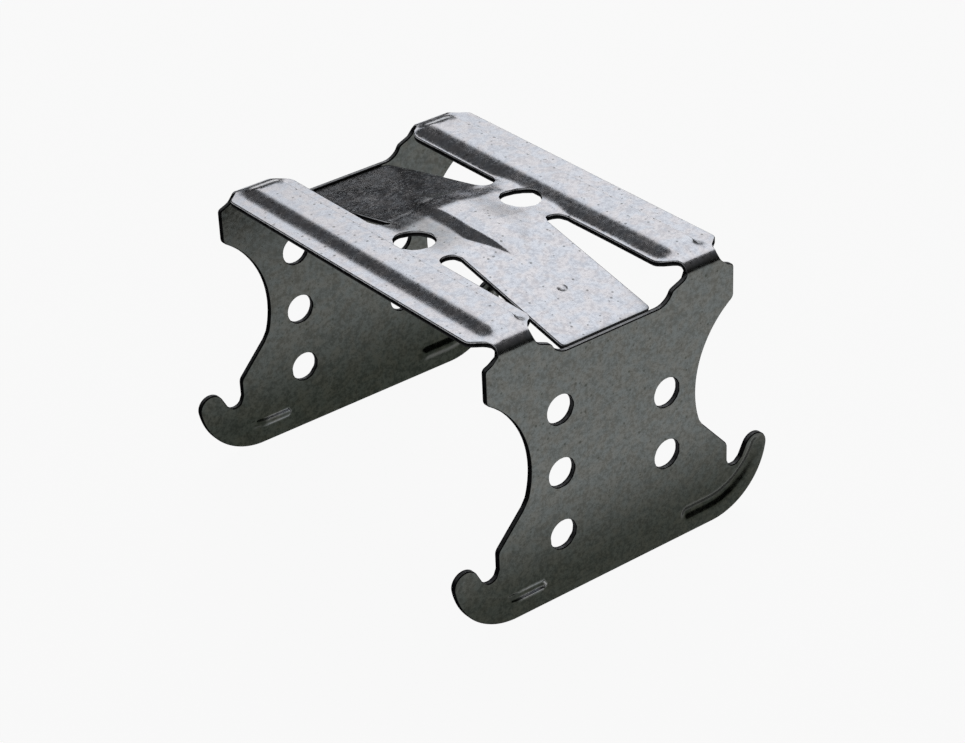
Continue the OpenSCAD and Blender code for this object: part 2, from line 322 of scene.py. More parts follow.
@dataclass
class LegOutline:
    """Right half of a leg's edge, from the shoulder round the hook to the foot."""

    sizes: SheetSizes
    hook_half: float = 28.6
    hook_r: float = 10.6
    tip_r: float = 2.1
    tip_angle: float = -9.0
    wall_x: float = 20.95
    notch_r: float = 1.5
    notch_z: float = 9.3
    lip_z: float = 11.4
    lip_r: float = 1.4
    waist_x: float = 29.85
    waist_r: float = 15.0
    waist_z: float = 22.8
    hip_in: float = 5.2
    hip_soft: float = 2.5
    shoulder_soft: float = 1.0
    waist_trim: tuple = (3.0, 4.0)  # degrees left out at the waist's top and foot, for the fillets
    step: float = 0.45
    fine_step: float = 0.2
    tip_step: float = 0.22

    def points(self) -> list:
        """Corners and arc points from the shoulder down to the foot's middle.

        Returns:
            Rows of x, z and the corner's radius.
        """
        tip_a = math.radians(self.tip_angle)
        inner = self.hook_r - self.tip_r
        foot_x = self.hook_half - self.tip_r - inner * math.cos(tip_a)
        tip = (foot_x + inner * math.cos(tip_a), self.hook_r + inner * math.sin(tip_a))
        notch = (self.wall_x + self.notch_r, self.notch_z)
        apart = math.dist(tip, notch)
        toward_tip = math.atan2(tip[1] - notch[1], tip[0] - notch[0])
        touch = math.degrees(toward_tip - math.acos((self.notch_r + self.tip_r) / apart))
        hip_x = self.wall_x - self.hip_in
        hip_z = self.waist_z - math.sqrt(self.waist_r**2 - (self.waist_x - hip_x) ** 2)
        lip = (self.wall_x - self.lip_r, self.lip_z)
        toward_hip = math.atan2(hip_z - lip[1], hip_x - lip[0])
        lip_a = math.degrees(toward_hip - math.acos(self.lip_r / math.dist((hip_x, hip_z), lip)))
        edge = self.sizes.saddle_half
        meet_z = self.waist_z + math.sqrt(self.waist_r**2 - (self.waist_x - edge) ** 2)
        high = math.degrees(math.atan2(meet_z - self.waist_z, edge - self.waist_x))
        low = math.degrees(math.atan2(hip_z - self.waist_z, hip_x - self.waist_x)) + 360
        first, last = high + self.waist_trim[0], low - self.waist_trim[1]
        waist = arc((self.waist_x, self.waist_z), self.waist_r, first, last, self.step)
        rows = [(edge, meet_z, self.shoulder_soft), *waist, (hip_x, hip_z, self.hip_soft)]
        rows += arc(lip, self.lip_r, lip_a, 0, self.fine_step)
        rows += arc(notch, self.notch_r, 180, 360 + touch, self.fine_step)
        rows += arc(tip, self.tip_r, touch + 180, self.tip_angle, self.tip_step)
        rows += arc((foot_x, self.hook_r), self.hook_r, self.tip_angle, -90, self.step)
        rows.append((0.0, 0.0, 0.0))
        return rows


@dataclass
class ReliefNotch:
    """Notch beside a bend, with a round bottom and a mouth that widens."""

    sizes: SheetSizes
    side: Side
    depth: float = 2.5
    strip_half: float = 0.95
    leg_half: float = 1.1
    strip_flare: float = 38.0
    leg_flare: float = 22.0
    bottom_r: float = 1.65
    strip_corner: float = 1.2

    @property
    def middle(self) -> float:
        """Place of the notch's middle on the blank."""
        return self.sizes.flat_y + self.sizes.bend_len / 2

    @property
    def edge(self) -> float:
        """Distance of the strip's edge from the sheet's centre line."""
        return self.sizes.saddle_half if self.side is Side.OUTER else self.sizes.strip_in

    @property
    def bottom_x(self) -> float:
        """Distance of the notch's bottom from the sheet's centre line."""
        return self.edge - self.side.value * self.depth

    def corners(self) -> list:
        """Strip corner and the two bottom corners, from the strip to the leg.

        Returns:
            Rows of x, place on the blank and the corner's radius.
        """
        rise = self.depth * math.tan(math.radians(self.strip_flare))
        return [
            (self.edge, self.middle - self.strip_half - rise, self.strip_corner),
            (self.bottom_x, self.middle - self.strip_half, self.bottom_r),
            (self.bottom_x, self.middle + self.leg_half, self.bottom_r),
        ]

    def leg_wall(self, x: float) -> float:
        """Place on the blank of the wall on the leg's side, at a distance x."""
        run = abs(x - self.bottom_x)
        return self.middle + self.leg_half + run * math.tan(math.radians(self.leg_flare))


@dataclass
class BlankOutline:
    """Every cut edge of the blank, each one a closed loop with the metal on its left."""

    sizes: SheetSizes
    step: float = 0.45
    inset: float = 0.02
    shoulder_r: float = 0.7
    window_corner: float = 0.9
    window_trim: float = 15.0
    notch_depth: float = 2.4
    notch_corner: float = 2.0
    meet_search: tuple = (2.0, 60.0, 400)  # first and last angle in degrees, and how many are tried
    circle_step: float = 0.3
    window_step: float = 0.35
    slot_step: float = 0.25

    def loops(self) -> list:
        """All loops, the outer one first.

        Returns:
            A list of two-column arrays without a repeated end point.
        """
        rear = self._window()
        front = (rear * (1, -1))[::-1]
        found = [self._outer(), rear, front]
        for side in (1, -1):
            found.append(self._circle((side * self.sizes.eye_x, 0.0), self.sizes.eye_r))
        for x, z in self.hole_places():
            for leg in (1, -1):
                found.append(self._circle((x, leg * self.sizes.on_blank(z)), self.sizes.hole_r))
        return [self._shrunk(loop) for loop in found]

    def hole_places(self) -> list:
        """X and height of the five screw holes of a leg.

        Returns:
            Pairs of x and height above the feet.
        """
        s = self.sizes
        column = [(-s.hole_x, s.hole_z + k * s.hole_pitch) for k in (-1, 0, 1)]
        return column + [(s.hole_x, s.hole_z + k * s.hole_pitch) for k in (-0.5, 0.5)]

    def _outer(self) -> Array:
        """Loop round the whole blank.

        Returns:
            A two-column array without a repeated end point.
        """
        s = self.sizes
        notch = ReliefNotch(s, Side.OUTER)
        rows = [(s.saddle_half, 0.0, 0.0), *notch.corners()]
        rows.append((s.saddle_half, notch.leg_wall(s.saddle_half), self.shoulder_r))
        rows += [(x, s.on_blank(z), r) for x, z, r in LegOutline(s).points()]
        quarter = round_corners(rows, self.step)
        half = np.vstack([quarter, (quarter * (-1, 1))[::-1][1:]])
        return np.vstack([half, (half * (1, -1))[::-1][1:-1]])

    def _window(self) -> Array:
        """Loop round the rear window, both slots and the free edge of the tongue.

        Returns:
            A two-column array without a repeated end point.
        """
        s = self.sizes
        notch = ReliefNotch(s, Side.WINDOW, depth=self.notch_depth, strip_corner=self.notch_corner)
        low = s.on_blank(s.window_z)
        corner = (s.window_half - s.window_r, low - s.window_r)
        meet = self._meet(corner, s.window_r, notch)
        rows = [(0.0, low, 0.0), *arc(corner, s.window_r, 90, meet + self.window_trim, self.window_step)]
        angle = math.radians(meet)
        met = (corner[0] + s.window_r * math.cos(angle), corner[1] + s.window_r * math.sin(angle))
        rows.append((*met, self.window_corner))
        rows += notch.corners()[::-1]
        slot_r = (s.strip_in - s.tongue_half) / 2
        end = (s.tongue_half + slot_r, s.slot_start + slot_r)
        rows += arc(end, slot_r, 0, -180, self.slot_step)
        rows += [(s.tongue_half, s.tongue_end, s.tongue_corner), (0.0, s.tongue_end, 0.0)]
        half = round_corners(rows, self.step)
        return np.vstack([half, (half * (-1, 1))[::-1][1:-1]])

    def _meet(self, centre: Sequence[float], radius: float, notch: ReliefNotch) -> float:
        """Angle at which a notch's wall meets the round corner of the window.

        Args:
            centre: Centre of the round corner.
            radius: Its radius.
            notch: The notch beside it.

        Returns:
            The angle in degrees.
        """
        angles = np.radians(np.linspace(*self.meet_search))
        x = centre[0] + radius * np.cos(angles)
        gap = centre[1] + radius * np.sin(angles) - np.array([notch.leg_wall(v) for v in x])
        return float(np.degrees(angles[np.argmin(np.abs(gap))]))

    def _circle(self, centre: Sequence[float], radius: float) -> Array:
        """Loop round a round hole.

        Args:
            centre: Centre of the hole.
            radius: Its radius.

        Returns:
            A two-column array without a repeated end point.
        """
        count = 2 * int(math.ceil(math.pi * radius / self.circle_step))
        angles = -np.arange(count) * 2 * math.pi / count
        return np.column_stack([centre[0] + radius * np.cos(angles), centre[1] + radius * np.sin(angles)])

    def _shrunk(self, loop: Array) -> Array:
        """Loop moved a hair into the metal, so that it stays inside the CAD part."""
        return loop - outward(loop) * self.inset


def outward(loop: Array) -> Array:
    """Unit directions that point out of the metal, one for each point of a loop.

    Args:
        loop: Closed loop with the metal on its left.

    Returns:
        Two-column array of directions.
    """
    ahead = np.roll(loop, -1, axis=0) - loop
    ahead /= np.linalg.norm(ahead, axis=1)[:, None]
    along = ahead + np.roll(ahead, 1, axis=0)
    along /= np.linalg.norm(along, axis=1)[:, None]
    return np.column_stack([along[:, 1], -along[:, 0]])


@dataclass
class PressedForms:
    """Ribs, middle rib, pip and foot grooves, as heights over the blank.

    Left is towards -X, as seen from the front leg. Of a pair, the first value is for
    the left flank or groove and the second one for the right. The middle rib's crest
    is given as places along the blank, each with the crest's half width.
    """

    sizes: SheetSizes
    rib_h: float = 0.8
    rib_x: float = 15.8
    rib_half: float = 3.9
    rib_reach: float = 28.9
    rib_corner: float = 2.4
    rib_run: tuple = (2.0, 0.6)
    rib_crease: tuple = (0.95, 0.06)
    rib_foot: tuple = (1.0, 0.12)
    rib_right: Ramp = Ramp(0.1, 0.9)
    rib_turn: Ramp = Ramp(-0.5, 1.9)
    steep_start: float = 0.9
    right_shift: float = 0.3
    rim_slope: float = 0.34
    rim_x: float = 12.7
    rim_run: float = 1.35
    rim_crease: float = 0.3
    rim_least: float = 0.35
    rim_front_loss: float = 0.35
    rim_from_eye: Ramp = Ramp(4.5, 9.5)
    rim_from_bend: Ramp = Ramp(0.0, 3.0)
    rim_from_tongue: Ramp = Ramp(7.8, 10.2)
    rim_to_front: Ramp = Ramp(0.0, 20.0)
    spine_h: float = 0.8
    spine_slope: tuple = (0.38, 0.14)
    spine_crest: tuple = ((-14.0, 0.7), (-10.0, 1.45), (-7.0, 2.0), (-4.0, 2.15), (0.0, 1.75), (4.0, 1.8), (9.0, 1.5))
    spine_rise: Ramp = Ramp(13.1, 3.8)
    spine_crease: float = 0.04
    spine_foot: tuple = (0.1, 0.3)
    spine_rear: Ramp = Ramp(-6.0, 2.0)
    spine_zone: tuple = (9.0, 22.0)
    sag_depth: tuple = (0.48, 0.3)
    sag_start: float = 3.2
    sag_stop: tuple = (9.8, 7.4)
    sag_end: tuple = (28.0, 24.0)
    sag_fade: float = 16.6
    sag_left: Ramp = Ramp(0.5, -4.5)
    sag_between: Ramp = Ramp(10.8, 7.8)
    lean_along: Ramp = Ramp(-8.0, 7.0)
    lean_depth: float = 0.2
    lean_rear: float = 0.14
    hollow: Patch = Patch((Ramp(-11.2, -8.2), Ramp(-3.4, -7.4)), (Ramp(-7.0, -1.0), Ramp(13.0, 7.0)))
    hollow_depth: float = 0.1
    pip_place: float = -20.81
    pip_r: float = 0.85
    pip_h: float = 0.15
    pip_power: float = 1.3
    groove_h: tuple = (0.30, 0.52)
    groove_mouth: float = 0.60
    groove_run: float = 0.14
    groove_crease: float = 0.04
    groove_fade: float = 0.85
    groove_fading: Ramp = Ramp(0.0, 3.0)
    groove_round: Ramp = Ramp(1.5, 0.0)
    groove_z: float = 3.4
    groove_r: float = 10.4
    groove_start: float = 13.4
    groove_turn: float = 17.2
    groove_sweep: float = 66.0

    def height(self, x: Array, v: Array) -> Array:
        """Height of the sheet's outer face over the plain blank.

        Args:
            x: Distances from the centre line.
            v: Places along the blank.

        Returns:
            Heights in millimetres, below zero where the sheet is pressed in.
        """
        raised = self._ribs(x, v) + self._spine(x, v) + self._pip(x, v)
        return raised - self._grooves(x, v) - self._sag(x, v) - self._rolled_rim(x, v)

    def slope(self, x: Array, v: Array, reach: float = 0.02) -> tuple:
        """Steepness of the height along x and along the blank.

        Args:
            x: Distances from the centre line.
            v: Places along the blank.
            reach: Half the distance over which it is measured.

        Returns:
            The two steepnesses.
        """
        along_x = (self.height(x + reach, v) - self.height(x - reach, v)) / (2 * reach)
        along_v = (self.height(x, v + reach) - self.height(x, v - reach)) / (2 * reach)
        return along_x, along_v

    def groove_distance(self, x: Array, v: Array) -> Array:
        """Distance from the middle line of the nearest foot groove.

        Args:
            x: Distances from the centre line.
            v: Places along the blank.

        Returns:
            Distances in millimetres.
        """
        across = np.abs(x)
        z = self.sizes.on_blank(0) - np.abs(v)
        level = np.clip(across, self.groove_start, self.groove_turn)
        straight = np.hypot(across - level, z - self.groove_z)
        centre_z = self.groove_z + self.groove_r
        angle = np.arctan2(z - centre_z, across - self.groove_turn)
        last = math.radians(self.groove_sweep - 90)
        held = np.clip(angle, -math.pi / 2, last)
        curved = np.hypot(
            across - self.groove_turn - self.groove_r * np.cos(held),
            z - centre_z - self.groove_r * np.sin(held),
        )
        return np.minimum(straight, curved)

    def rib_depth(self, x: Array, v: Array) -> Array:
        """Distance inside a rib's outer line, below zero outside it.

        Args:
            x: Distances from the centre line.
            v: Places along the blank.

        Returns:
            Distances in millimetres.
        """
        side = np.abs(np.abs(x) - self.rib_x) - (self.rib_half - self.rib_corner)
        end = np.abs(v) - (self.rib_reach - self.rib_corner)
        outside = np.hypot(np.maximum(side, 0), np.maximum(end, 0))
        inner = np.minimum(np.maximum(side, end), 0)
        return self.rib_corner - outside - inner

    def _ribs(self, x: Array, v: Array) -> Array:
        """Side ribs: a round flank all round, but for a steep one on the right of each.

        Args:
            x: Distances from the centre line.
            v: Places along the blank.

        Returns:
            Heights over the blank.
        """
        depth = self.rib_depth(x, v)
        off_x, place = np.abs(x) - self.rib_x, np.abs(v)
        right = self.rib_right.at(off_x * np.sign(x))
        right = right * self.rib_turn.at(np.abs(off_x) - self.rib_half - place + self.rib_reach)
        moved = depth - self.right_shift * smooth_step(x)
        return (1 - right) * self._flank(moved, 0) + right * self._flank(depth - self.steep_start, 1)

    def _flank(self, depth: Array, side: int) -> Array:
        """Height of a rib's flank, 0 for the left one and 1 for the right one.

        Args:
            depth: Distance inside the line at which the flank begins.
            side: Which of the two flanks.

        Returns:
            Heights over the blank.
        """
        run = self.rib_run[side]
        raised = soft_floor(depth, self.rib_foot[side])
        return (run - soft_floor(run - raised, self.rib_crease[side])) * self.rib_h / run

    def _rolled_rim(self, x: Array, v: Array) -> Array:
        """Drop of the right strip's edge along the windows, drawn down by the punch.

        Args:
            x: Distances from the centre line.
            v: Places along the blank.

        Returns:
            Depths below the blank.
        """
        place = np.abs(v)
        share = self.rim_least + (1 - self.rim_least) * self.rim_from_eye.at(place)
        share = share * self.rim_from_bend.at(self.sizes.flat_y - place)
        share = share * (1 - self.rim_front_loss * self.rim_to_front.at(-v))
        past = self.rim_x - x
        drop = soft_floor(past, self.rim_crease) - soft_floor(past - self.rim_run, self.rim_crease)
        return drop * self.rim_slope * share * self.rim_from_tongue.at(x)

    def _sag(self, x: Array, v: Array) -> Array:
        """Gentle sag of the bridge towards the rear tongue, longer and deeper on the left.

        Args:
            x: Distances from the centre line.
            v: Places along the blank.

        Returns:
            Depths below the blank.
        """
        left = self.sag_left.at(x)
        depth, stop, end = (
            right + (most - right) * left for most, right in (self.sag_depth, self.sag_stop, self.sag_end)
        )
        onset = smooth_step((v - self.sag_start) / (stop - self.sag_start))
        lean = (self.lean_along.at(v) * self.lean_depth + onset * self.lean_rear) * left
        kept = smooth_step((end - v) / self.sag_fade) * self.sag_between.at(np.abs(x))
        return (depth * onset + lean) * kept + self.hollow_depth * self.hollow.at(x, v)

    def _spine(self, x: Array, v: Array) -> Array:
        """Middle rib, steep on the left and flat on the right, that runs out on both tongues.

        Args:
            x: Distances from the centre line.
            v: Places along the blank.

        Returns:
            Heights over the blank.
        """
        across, place = np.abs(x), np.abs(v)
        high = self.spine_h * self.spine_rise.at(place)
        half = np.interp(v, *np.transpose(self.spine_crest))
        slope = np.where(x < 0, *self.spine_slope)
        drop = soft_floor(across - half, self.spine_crease / slope) * slope
        sharp, broad = self.spine_foot
        soft = sharp + (broad - sharp) * self.spine_rear.at(v)
        near = (across < self.spine_zone[0]) & (place < self.spine_zone[1])
        return np.where(near, soft_floor(high - drop, soft) - soft_floor(-drop, soft), 0.0)

    def _pip(self, x: Array, v: Array) -> Array:
        """Round pip on the front tongue."""
        away = np.hypot(x, v - self.pip_place) / self.pip_r
        return self.pip_h * np.clip(1 - away**2, 0, 1) ** self.pip_power

    def _grooves(self, x: Array, v: Array) -> Array:
        """Depth of the foot grooves: narrow and crisp on the left, wide and round on the right.

        Args:
            x: Distances from the centre line.
            v: Places along the blank.

        Returns:
            Depths below the blank.
        """
        away = self.groove_distance(x, v)
        narrow = soft_floor(self.groove_mouth - away, self.groove_crease)
        narrow = (self.groove_run - soft_floor(self.groove_run - narrow, self.groove_crease)) / self.groove_run
        left = narrow * (1 - self.groove_fade * self.groove_fading.at(np.abs(x) - self.groove_turn))
        return np.where(x < 0, left * self.groove_h[0], self.groove_round.at(away) * self.groove_h[1])


@dataclass(frozen=True)
class RimRow:
    """One row of points round a cut edge, from the outer face to the inner one.

    The inset and the deep value are shares of the edge radius, and the level is a
    share of the thickness. The tilt leans the row's direction towards the outer
    face. Band is 1 where a saddle edge gets its painted highlight and 0 where it is
    painted near black as shade, and leg_band is the same on the legs; the bright rows
    near the outer face stand partly for a real burnished band.
    """

    inset: float
    deep: float
    level: float
    tilt: float
    band: float
    leg_band: float


@dataclass(frozen=True)
class RimHighlight:
    """Painted highlight on the cut edges, from 0 for none to 1 for full; partly it stands for a real burnish.

    The three saddle values say how strong the painted highlight on an edge of the saddle is
    and how that falls where the edge turns to the right or to the rear.
    """

    saddle: float = 0.7
    saddle_base: float = 0.5
    saddle_turn: tuple = (1.2, 0.5)
    outer: float = 0.3
    window: float = 0.6
    bore: float = 0.35
    bore_least: float = 0.10
    # Painted highlight where an edge on a leg faces up.
    upward: Ramp = Ramp(0.45, 0.95)
    windows: tuple = (1, 2)

    def of_loop(self, order: int) -> tuple:
        """Painted highlight of a loop on a leg.

        Args:
            order: Place of the loop in the outline: the outer one, the two windows, then the bores.

        Returns:
            The painted highlight where the edge faces up, and the least painted highlight all round.
        """
        if order == 0:
            return self.outer, 0.0
        return (self.window, 0.0) if order in self.windows else (self.bore, self.bore_least)


@dataclass(frozen=True)
class PaintedShading:
    """Painted shade on the zinc: 0 is none, 1 the legs' painted shade and 2 the deep painted shade at the feet.

    The bend's ramp is in shares of the bend's length, and the deep shade's in heights
    above the feet. The inner faces get painted shade too. A narrow band beside the left
    grooves has less of it, which paints a highlight there, and the rear tongue and the
    bridge beside the middle rib get more painted shade than the saddle.
    """

    # Painted shade: the legs darken from part way round the bend, as if they reflected dark surroundings.
    bend: Ramp = Ramp(0.28, 0.78)
    # Painted shade that deepens towards the feet, and painted shade on the inner faces.
    deep_shade: Ramp = Ramp(21.0, 2.5)
    deep_shade_inside: float = 0.32
    inside: float = 0.55
    # Painted highlight: a narrow band on the left grooves' flank with less painted shade.
    groove_highlight_place: float = 0.52
    groove_highlight_width: Ramp = Ramp(0.2, 0.1)
    groove_highlight_end: Ramp = Ramp(-1.0, 0.5)
    groove_highlight: float = 0.72
    # Painted shade on the rear tongue, which leans away from the light.
    rear_along: Ramp = Ramp(0.0, 4.0)
    rear_across: Ramp = Ramp(0.6, 0.3)
    rear: float = 0.24
    # Painted shade in the hollow beside the middle rib's dark flank.
    beside_spine: Patch = Patch((Ramp(-10.5, -8.0), Ramp(-2.6, -5.0)), (Ramp(-7.5, -0.5), Ramp(9.0, 5.0)))
    beside: float = 0.5


@dataclass
class BlankMesh:
    """Flat blank with its thickness, as a mesh that the fold then bends."""

    sizes: SheetSizes
    outline: BlankOutline
    forms: PressedForms
    # Painted highlight on the cut edges.
    edge_highlight: RimHighlight = RimHighlight()
    # Painted shade on the broad faces.
    weather: PaintedShading = PaintedShading()
    name: str = "connector_sheet"
    edge_r: float = 0.12
    skin: float = 0.02
    saddle_step: float = 0.5
    spine_step: float = 0.3
    bend_step: float = 0.26
    leg_step: float = 0.95
    groove_step: float = 0.34
    pip_step: float = 0.16
    spine_zone: tuple = (4.6, 19.0)
    bend_margin: tuple = (0.4, 0.3)
    groove_zone: float = 1.7
    pip_zone: float = 0.3
    plan_gap: float = 1e-7
    lattice_half: float = 30.0
    lattice_gap: float = 0.55
    tongue_margin: tuple = (0.2, 1.0)  # how far from the strips a tongue's zone ends, and how far past its free edge
    rim_rows: tuple = (
        RimRow(QUARTER, QUARTER, 0.0, 0.99, 1.0, 0.0),
        RimRow(0.0, 1.0, 0.0, 0.0, 1.0, 0.0),
        RimRow(0.0, 0.0, 0.20, 0.0, 1.0, 1.0),
        RimRow(0.0, 0.0, 0.28, 0.0, 0.0, 1.0),
        RimRow(0.0, 0.0, 0.62, 0.0, 0.0, 1.0),
        RimRow(0.0, 0.0, 0.78, 0.0, 0.1, 0.0),
        RimRow(0.0, -1.0, 1.0, 0.0, 0.1, 0.0),
        RimRow(QUARTER, -QUARTER, 1.0, -0.99, 0.1, 0.0),
    )
    # Rows of points along the forms: distances inside a rib's outer line, and from a groove's middle line.
    rib_rows: tuple = (-0.5, 0.1, 0.6, 0.82, 0.97, 1.2, 1.43, 1.58, 1.9, 2.4, 2.9)
    groove_rows: tuple = (0.38, 0.43, 0.48, 0.53, 0.58, 0.64)
    groove_row_step: float = 0.3
    groove_row_over: float = 1.6
    contour_step: float = 0.6
    contour_turn: int = 5
    contour_gap: float = 0.15
    loops: list = field(default_factory=list)

    def build(self) -> bpy.types.Object:
        """Makes the blank.

        Returns:
            The object, in metres, with the attributes that the fold reads.
        """
        self.loops = self.outline.loops()
        plan, faces = self._plan()
        count = len(plan)
        top = self._layer(plan, plan, 0.0)
        under = self._layer(plan, plan, 1.0)
        grad_x, grad_v = self.forms.slope(plan[:, 0], plan[:, 1])
        lie = np.column_stack([-grad_x, -grad_v, np.ones(count)])
        lie /= np.linalg.norm(lie, axis=1)[:, None]
        places, normals = [top, under], [lie, -lie]
        polygons = [faces, faces[:, ::-1] + count]
        light = [np.zeros(2 * count)]
        quads, first, start = [], 2 * count, 0
        for order, loop in enumerate(self.loops):
            size = len(loop)
            away = outward(loop)
            ring = plan[start : start + size]
            rows = [np.arange(start, start + size)]
            for row in self.rim_rows:
                place = loop - away * row.inset * self.edge_r
                places.append(self._layer(place, ring, row.level, row.deep * self.edge_r))
                edge = np.column_stack([away, np.full(size, row.tilt)])
                normals.append(edge / np.linalg.norm(edge, axis=1)[:, None])
                light.append(self._rim_light(ring, away, row, order))
                rows.append(np.arange(first, first + size))
                first += size
            rows.append(np.arange(start, start + size) + count)
            for upper, lower in zip(rows[:-1], rows[1:]):
                quads.append(np.column_stack([upper, lower, np.roll(lower, -1), np.roll(upper, -1)]))
            start += size
        blank = self._object(np.vstack(places), np.vstack(normals), np.vstack(polygons), np.vstack(quads))
        # Painted highlight on the cut edges.
        self._store(blank.data, Attribute.RIM_LIGHT, "FLOAT", "POINT", np.concatenate(light).astype(np.float32))
        return blank

    def _rim_light(self, ring: Array, away: Array, row: RimRow, order: int) -> Array:
        """Painted highlight on the cut edge: near the outer face on the saddle, partly for a real burnish, and where
        it faces up on a leg.

        Args:
            ring: Points of the loop.
            away: Directions out of the metal.
            row: The row of points round the edge.
            order: Place of the loop in the outline.

        Returns:
            Values from 0 to 1.
        """
        s, edge_highlight = self.sizes, self.edge_highlight
        on_leg = smooth_step((np.abs(ring[:, 1]) - s.flat_y) / s.bend_len)
        # Painted highlight on the saddle's edges, strongest where they face -X or -Y.
        toward = smooth_step(edge_highlight.saddle_base - away @ np.array(edge_highlight.saddle_turn))
        share, least = edge_highlight.of_loop(order)
        # Painted highlight on the legs' edges where they face up.
        lit = np.maximum(edge_highlight.upward.at(-np.sign(ring[:, 1]) * away[:, 1]) * share, least)
        return (1 - on_leg) * row.band * toward * edge_highlight.saddle + on_leg * row.leg_band * lit

    def _layer(self, place: Array, over: Array, below: float, deep: float = 0.0) -> Array:
        """Points of one row or face: place on the blank, and depth under the outer face.

        Args:
            place: Where the points lie on the blank.
            over: Places whose height the points follow.
            below: Share of the thickness, 0 at the outer face.
            deep: Depth in millimetres that is added.

        Returns:
            The points, three columns.
        """
        raised = self.forms.height(over[:, 0], over[:, 1])
        depth = self.skin + below * (self.sizes.thick - 2 * self.skin) + deep
        return np.column_stack([place, raised - depth])

    def _plan(self) -> tuple:
        """Triangles of the plan, with the loops' points first.

        Returns:
            The plan's points and its triangles.
        """
        rings = [loop - outward(loop) * self.edge_r for loop in self.loops]
        edge_points = np.vstack(rings)
        contours = self._contours(edge_points)
        inner = self._lattice(np.vstack([edge_points, contours]))
        points = np.vstack([edge_points, contours, inner])
        edges, start = [], 0
        for ring in rings:
            index = np.arange(start, start + len(ring))
            edges.extend(zip(index.tolist(), np.roll(index, -1).tolist()))
            start += len(ring)
        verts, _, faces, origin, _, _ = delaunay_2d_cdt([Vector(p) for p in points], edges, [], 0, self.plan_gap)
        if len(verts) != len(points):
            raise RuntimeError(f"the plan has {len(points)} points and {len(verts)} came back")
        back = np.array([found[0] for found in origin])
        faces = back[np.array(faces)]
        keep = self._inside(points[faces].mean(axis=1))
        return points, self._left_turning(points, faces[keep])

    @staticmethod
    def _left_turning(points: Array, faces: Array) -> Array:
        """Triangles that all turn the same way.

        Args:
            points: Points of the plan.
            faces: Triangles that may turn either way.

        Returns:
            The same triangles.
        """
        a, b, c = (points[faces[:, k]] for k in range(3))
        area = (b[:, 0] - a[:, 0]) * (c[:, 1] - a[:, 1]) - (b[:, 1] - a[:, 1]) * (c[:, 0] - a[:, 0])
        return np.where(area[:, None] < 0, faces[:, ::-1], faces)

    def _inside(self, points: Array) -> Array:
        """Whether points lie in the metal.

        Args:
            points: Points of the plan.

        Returns:
            One truth value for each point.
        """
        inside = np.zeros(len(points), bool)
        x, v = points[:, 0], points[:, 1]
        for loop in self.loops:
            for (x0, v0), (x1, v1) in zip(loop, np.roll(loop, -1, axis=0)):
                if v0 == v1:
                    continue
                crossed = (v0 > v) != (v1 > v)
                inside ^= crossed & (x < (x1 - x0) * (v - v0) / (v1 - v0) + x0)
        return inside

    def _contours(self, edge_points: Array) -> Array:
        """Rows of points along the creases of the ribs and of the narrow grooves.

        Args:
            edge_points: Points of the plan's edges, from which the rows keep away.

        Returns:
            Points that lie in the metal.
        """
        f = self.forms
        rows = []
        for inside in self.rib_rows:
            half_x, half_v = f.rib_half - inside, f.rib_reach - inside
            corner = max(f.rib_corner - inside, 0.0)
            rise = np.linspace(-1, 1, 2 * int((half_v - corner) / self.contour_step) + 1) * (half_v - corner)
            flat = np.linspace(-1, 1, 2 * int((half_x - corner) / self.contour_step) + 1) * (half_x - corner)
            turn = np.radians(np.linspace(0, 90, int(corner * self.contour_turn) + 2))[1:-1]
            bow = (half_x - corner, half_v - corner) + corner * np.column_stack([np.cos(turn), np.sin(turn)])
            ring = [np.column_stack([np.full(len(rise), side * half_x), rise]) for side in (-1, 1)]
            ring += [np.column_stack([flat[1:-1], np.full(len(flat) - 2, side * half_v)]) for side in (-1, 1)]
            ring += [bow * (sx, sv) for sx in (-1, 1) for sv in (-1, 1)]
            rows += [np.vstack(ring) + (side * f.rib_x, 0.0) for side in (-1, 1)]
        for away in self.groove_rows:
            level = np.arange(f.groove_start, f.groove_turn + self.groove_row_over, self.groove_row_step)
            for high in (-away, away):
                line = np.column_stack([-level, np.full(len(level), self.sizes.on_blank(f.groove_z) - high)])
                rows += [line, line * (1, -1)]
        return self._clear(np.vstack(rows), self._tree(edge_points), self.contour_gap)

    @staticmethod
    def _tree(points: Array) -> KDTree:
        """Search tree over points of the plan.

        Args:
            points: Points that it holds.

        Returns:
            The balanced tree.
        """
        tree = KDTree(len(points))
        for index, (x, v) in enumerate(points):
            tree.insert((x, v, 0.0), index)
        tree.balance()
        return tree

    def _clear(self, points: Array, tree: KDTree, gap: float) -> Array:
        """Those of the points that lie in the metal and keep a gap from a tree's points.

        Args:
            points: Points to pick from.
            tree: Tree of the points to keep away from.
            gap: Least distance.

        Returns:
            The points that are left.
        """
        points = points[self._inside(points)]
        near = np.array([tree.find((x, v, 0.0))[2] for x, v in points])
        return points[near > gap]

